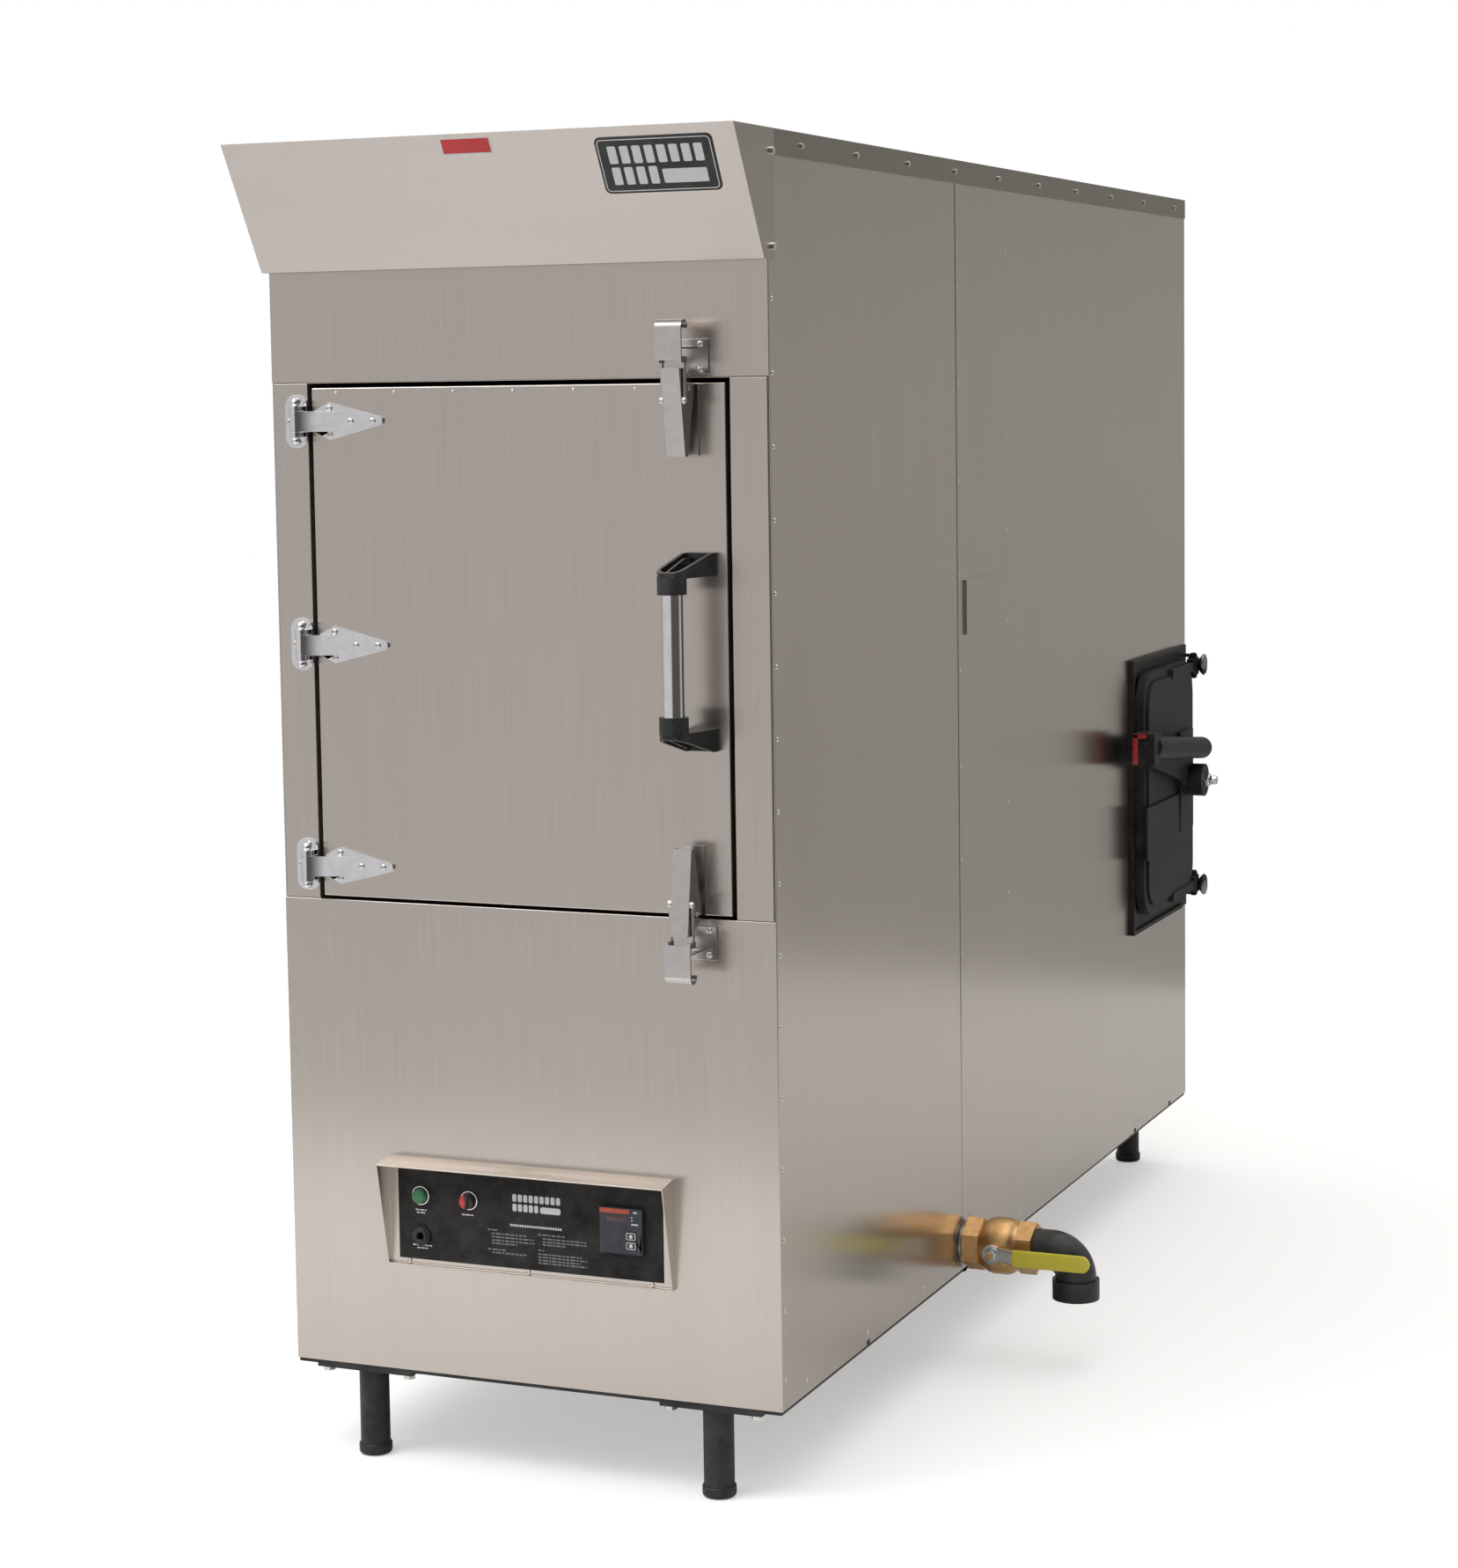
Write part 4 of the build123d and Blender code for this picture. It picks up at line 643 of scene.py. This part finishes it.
def drain_pieces():
    """Lever of the ball valve as plated root, nut and vinyl sleeve, and the thread of the nipple."""
    low, high = box_mm("valve_lever")
    stem_x, z, hub_y, grip_y = VALVE.x, VALVE.z, high.y, low.y
    bend = [(stem_x - 8, hub_y - 3.5), (stem_x + 20, hub_y - 3.5),
            (stem_x + 34, grip_y), (stem_x + 48, grip_y),
            (stem_x + 48, grip_y + 3.5), (stem_x + 36, grip_y + 3.5),
            (stem_x + 22, hub_y), (stem_x - 8, hub_y)]
    root = [(slab(bend, -11, 11, 0.8), at(0, 0, z))]
    stem = at(stem_x, hub_y, z, TO_FRONT)
    root.append((lathe([(15, 0), (15, 3), (14.4, 3.6), (0.1, 3.6)]), stem))
    root.append((lathe([(12, 3.6), (11.4, 4.6), (0.1, 4.6)]), stem))
    root.append((slab(polygon(6, 10.4, 0.3), 4.6, 11, 1.2), stem))
    piece("valve_lever_root", root, MATERIALS["valve_chrome"], "drain_valve",
          replaces=("valve_lever",))
    tip = lathe([(5.2, 10.8), (5.2, 12.4), (4.4, 13.2), (0.1, 13.2)])
    piece("valve_stem_end", [(tip, stem)], MATERIALS["brass"], "drain_valve")
    start, end, thick = stem_x + 36, high.x, 8.0
    slim = 26
    sections = [(start, 0.0, 0.80), (start + 0.6, 0.5, 0.92), (start + 5, 1.0, 1.0), (end - 12, 1.0, 1.0)]
    for n in range(1, 8):
        angle = n * pi / 2 / 8
        sections.append((end - 12 + 12 * sin(angle), 1.0 - (1 - cos(angle)) * 0.35, max(0.12, cos(angle))))
    rings = []
    for x, roundness, width in sections:
        outline = rounded_rect(thick * (0.8 + 0.2 * roundness), slim * width,
                               min(3.4, slim / 2 * width - 0.1), 5)
        rings.append([(a, b, x) for a, b in outline])
    piece("valve_lever_sleeve", [(skin(rings), at(0, grip_y + 1.75, z, TO_RIGHT))], MATERIALS["yellow_vinyl"],
          "drain_valve", smooth=50)
    turns, pitch = 3, 2.2
    profile = [(29, 0)]
    for n in range(turns):
        profile += [(30.3, n * pitch), (31.3, (n + 0.5) * pitch)]
    profile += [(30.3, turns * pitch), (29, turns * pitch)]
    piece("nipple_thread", [(ring_lathe(profile), at(HALF + 0.6, VALVE.y, z, TO_RIGHT))],
          MATERIALS["pipe_steel"],
          "cabinet")


def fire_door_pieces():
    """Pivot bolt with its nut, dark plated knobs at the hinge ends, and red trim on the lever."""
    low = box_mm("fire_door_handle")[0]
    door_low, door_high = box_mm("fire_door")
    pivot = at(low.x + 40.4, 925, 757, TO_RIGHT)
    nut = slab(polygon(6, 13), 0, 9, 1.5)
    end = lathe([(8.6, 9), (8.6, 19), (7.4, 22), (0.1, 22.6)])
    piece("pivot_bolt", [(nut, pivot), (end, pivot)], MATERIALS["chrome"], "fire_door")
    bell = lathe([(7.4, 0.2), (8.5, 5), (12, 9), (16.4, 12),
                  (18.4, 15), (17.6, 17), (15.0, 18.4), (0.1, 20.4)])
    pin_x, pin_y = 398, 1030
    knobs = [(bell, at(pin_x, pin_y, z, TO_RIGHT)) for z in (door_low.z + 14, door_high.z - 14)]
    piece("hinge_knobs", knobs, MATERIALS["chain_steel"], "fire_door")
    block_top = 757 + 122
    side = slab(rounded_rect(9, 54, 2), 0, 1.0, 0.4)
    cap = slab(rounded_rect(24, 7, 2), 0, 1.0, 0.4)
    trim = [(side, at(low.x + 5, low.y, block_top - 28, TO_FRONT)),
            (cap, at(low.x + 13, low.y, block_top - 4, TO_FRONT))]
    piece("lever_red_trim", trim, MATERIALS["red_plastic"], "fire_door_lever")


def side_laps():
    """Rear sheets of both sides, which lap over the front sheets at the riveted seam."""
    drain_z, bite, thick = VALVE.z, 46, 0.8
    edge, rear, low, high = SIDE_SEAM_Y - 9, 649, BASE + 0.5, TOP - 36
    start = atan2(sqrt(bite * bite - 81), -9)
    arc = [(SIDE_SEAM_Y + bite * cos(start * (1 - 2 * n / 24)),
            drain_z - bite * sin(start * (1 - 2 * n / 24)))
           for n in range(25)]
    outline = [(edge, low)] + [(rear, low), (rear, high), (edge, high)] + arc[::-1]
    piece("side_lap_right", [(slab(outline, 0, thick), at(HALF, 0, 0, TO_RIGHT))],
          MATERIALS["stainless_skin"],
          "cabinet")
    plain = [(-edge, low), (-edge, high), (-rear, high), (-rear, low)]
    piece("side_lap_left", [(slab(plain, 0, thick), at(-HALF, 0, 0, TO_LEFT))], MATERIALS["stainless_skin"],
          "cabinet")


def feet():
    """Moulded foot caps with a rolled lower edge and a lip at the top."""
    low, high = box_mm("foot_caps")
    cap = lathe([(0.1, 0), (18.5, 0), (21.2, 0.7), (22.9, 2.6), (23.5, 5),
                 (23.5, high.z - 2), (22.9, high.z - 0.6),
                 (21.9, high.z), (0.1, high.z)], 48)
    places = [(x, y) for x in (low.x + 23.5, high.x - 23.5) for y in (low.y + 23.5, high.y - 23.5)]
    piece("foot_cap_shells", [(cap, at(x, y, 0)) for x, y in places], MATERIALS["black_plastic"], "cabinet",
          replaces=("foot_caps",))


# ---- build ----------------------------------------------------------------------------------------
finish_nodes()
hardware_screws()
door_rivets()
hood_labels()
face_print()
control_rings()
button_and_knob()
controller_face()
drain_pieces()
fire_door_pieces()
side_laps()
feet()


# ---- stage, lights and camera -----------------------------------------------------------------------
def make_stage():
    """Pale floor round the smoker."""
    bpy.ops.mesh.primitive_plane_add(size=5.6, location=(0.3, 0, -0.0005))
    floor = bpy.context.object
    floor.name = "stage_floor"
    material, tree, shader = new_material("floor_paper")
    tone = noise(tree, (0.5, 0.5, 0.5), 2.0)
    tree.links.new(mixed(tree, ranged(tree, tone, 0, 1), (0.74, 0.74, 0.74), (0.77, 0.77, 0.77)),
                   shader.inputs["Base Color"])
    shader.inputs["Roughness"].default_value = 0.9
    light_path = tree.nodes.new("ShaderNodeLightPath")
    shader.inputs["Emission Color"].default_value = (1, 1, 1, 1)
    tree.links.new(ranged(tree, light_path.outputs["Is Camera Ray"], 0.0, 0.42, 0, 1),
                   shader.inputs["Emission Strength"])
    floor.data.materials.append(material)


def sky_ramp(tree, height, stops, tint):
    """Level by height over the horizon, from straight down at 0 to straight up at 1."""
    ramp = tree.nodes.new("ShaderNodeValToRGB")
    elements = ramp.color_ramp.elements
    while len(elements) < len(stops):
        elements.new(0.5)
    for element, (place, level) in zip(elements, stops):
        element.position = place
        element.color = (level * tint[0], level * tint[1], level * tint[2], 1)
    tree.links.new(height, ramp.inputs["Fac"])
    return ramp.outputs["Color"]


def make_world():
    """Pale studio, bright overhead, dimmer low down and behind, with a dark corner to the front right."""
    world = bpy.data.worlds.new("studio")
    bpy.context.scene.world = world
    world.use_nodes = True
    tree = world.node_tree
    back = tree.nodes["Background"]
    source = tree.nodes.new("ShaderNodeTexCoord")
    split = tree.nodes.new("ShaderNodeSeparateXYZ")
    tree.links.new(source.outputs["Generated"], split.inputs[0])
    height = ranged(tree, split.outputs["Z"], 0, 1, -1, 1)
    ahead = sky_ramp(tree, height, ((0.20, 0.85), (0.36, 0.66), (0.50, 0.60), (0.62, 0.62), (0.85, 0.95)),
                     (1.0, 0.99, 0.985))
    behind = sky_ramp(tree, height, ((0.15, 0.60), (0.40, 0.36), (0.50, 0.40), (0.56, 0.30), (0.85, 0.85)),
                      (1.0, 0.985, 0.93))
    sky = mixed(tree, ranged(tree, split.outputs["Y"], 0, 1, -0.4, 0.6), ahead, behind)
    toward = tree.nodes.new("ShaderNodeVectorMath")
    toward.operation = "DOT_PRODUCT"
    toward.inputs[1].default_value = (0.82, -0.57, 0.0)
    tree.links.new(source.outputs["Generated"], toward.inputs[0])
    dark_corner = ranged(tree, toward.outputs["Value"], 0, 1, 0.62, 0.78)
    sky = mixed(tree, dark_corner, sky, (0.09, 0.085, 0.08))
    light_path = tree.nodes.new("ShaderNodeLightPath")
    seen = mixed(tree, light_path.outputs["Is Camera Ray"], sky, (1.0, 1.0, 1.0))
    tree.links.new(seen, back.inputs["Color"])
    back.inputs["Strength"].default_value = 1.0


def area_light(name, place, target, size, power, spread=180):
    data = bpy.data.lights.new(name, "AREA")
    data.shape = "RECTANGLE"
    data.size, data.size_y = size
    data.energy = power
    data.spread = radians(spread)
    light = bpy.data.objects.new(name, data)
    bpy.context.scene.collection.objects.link(light)
    light.location = place
    light.rotation_mode = "QUATERNION"
    light.rotation_quaternion = (Vector(target) - Vector(place)).to_track_quat("-Z", "Y")


def make_camera():
    """Camera at the viewing angle: turned to the right of the door and looking slightly down."""
    azimuth, down, roll = radians(22.66), radians(5.31), radians(-0.82)
    forward = Vector((-sin(azimuth) * cos(down), cos(azimuth) * cos(down), -sin(down)))
    level = Vector((cos(azimuth), sin(azimuth), 0))
    upright = level.cross(forward)
    right = level * cos(roll) + upright * sin(roll)
    up = upright * cos(roll) - level * sin(roll)
    data = bpy.data.cameras.new("camera")
    data.lens = 75.37
    data.sensor_width = 36
    data.shift_y = -0.0623
    camera = bpy.data.objects.new("camera", data)
    bpy.context.scene.collection.objects.link(camera)
    turn = Matrix((right, up, -forward)).transposed()
    camera.matrix_world = Matrix.Translation((1.966, -5.0206, 1.5091)) @ turn.to_4x4()
    bpy.context.scene.camera = camera


make_stage()
make_world()
area_light("key", (-3.0, -3.5, 4.5), (0, 0, 1.0), (3.0, 3.0), 90)
area_light("top", (0.5, 0.0, 5.0), (0.3, -0.5, 0), (5.0, 5.0), 60)
area_light("front_pool", (-0.6, -2.6, 2.9), (-0.6, -2.3, 0), (2.0, 1.2), 9, 100)
make_camera()
bpy.context.scene.view_settings.view_transform = "Standard"
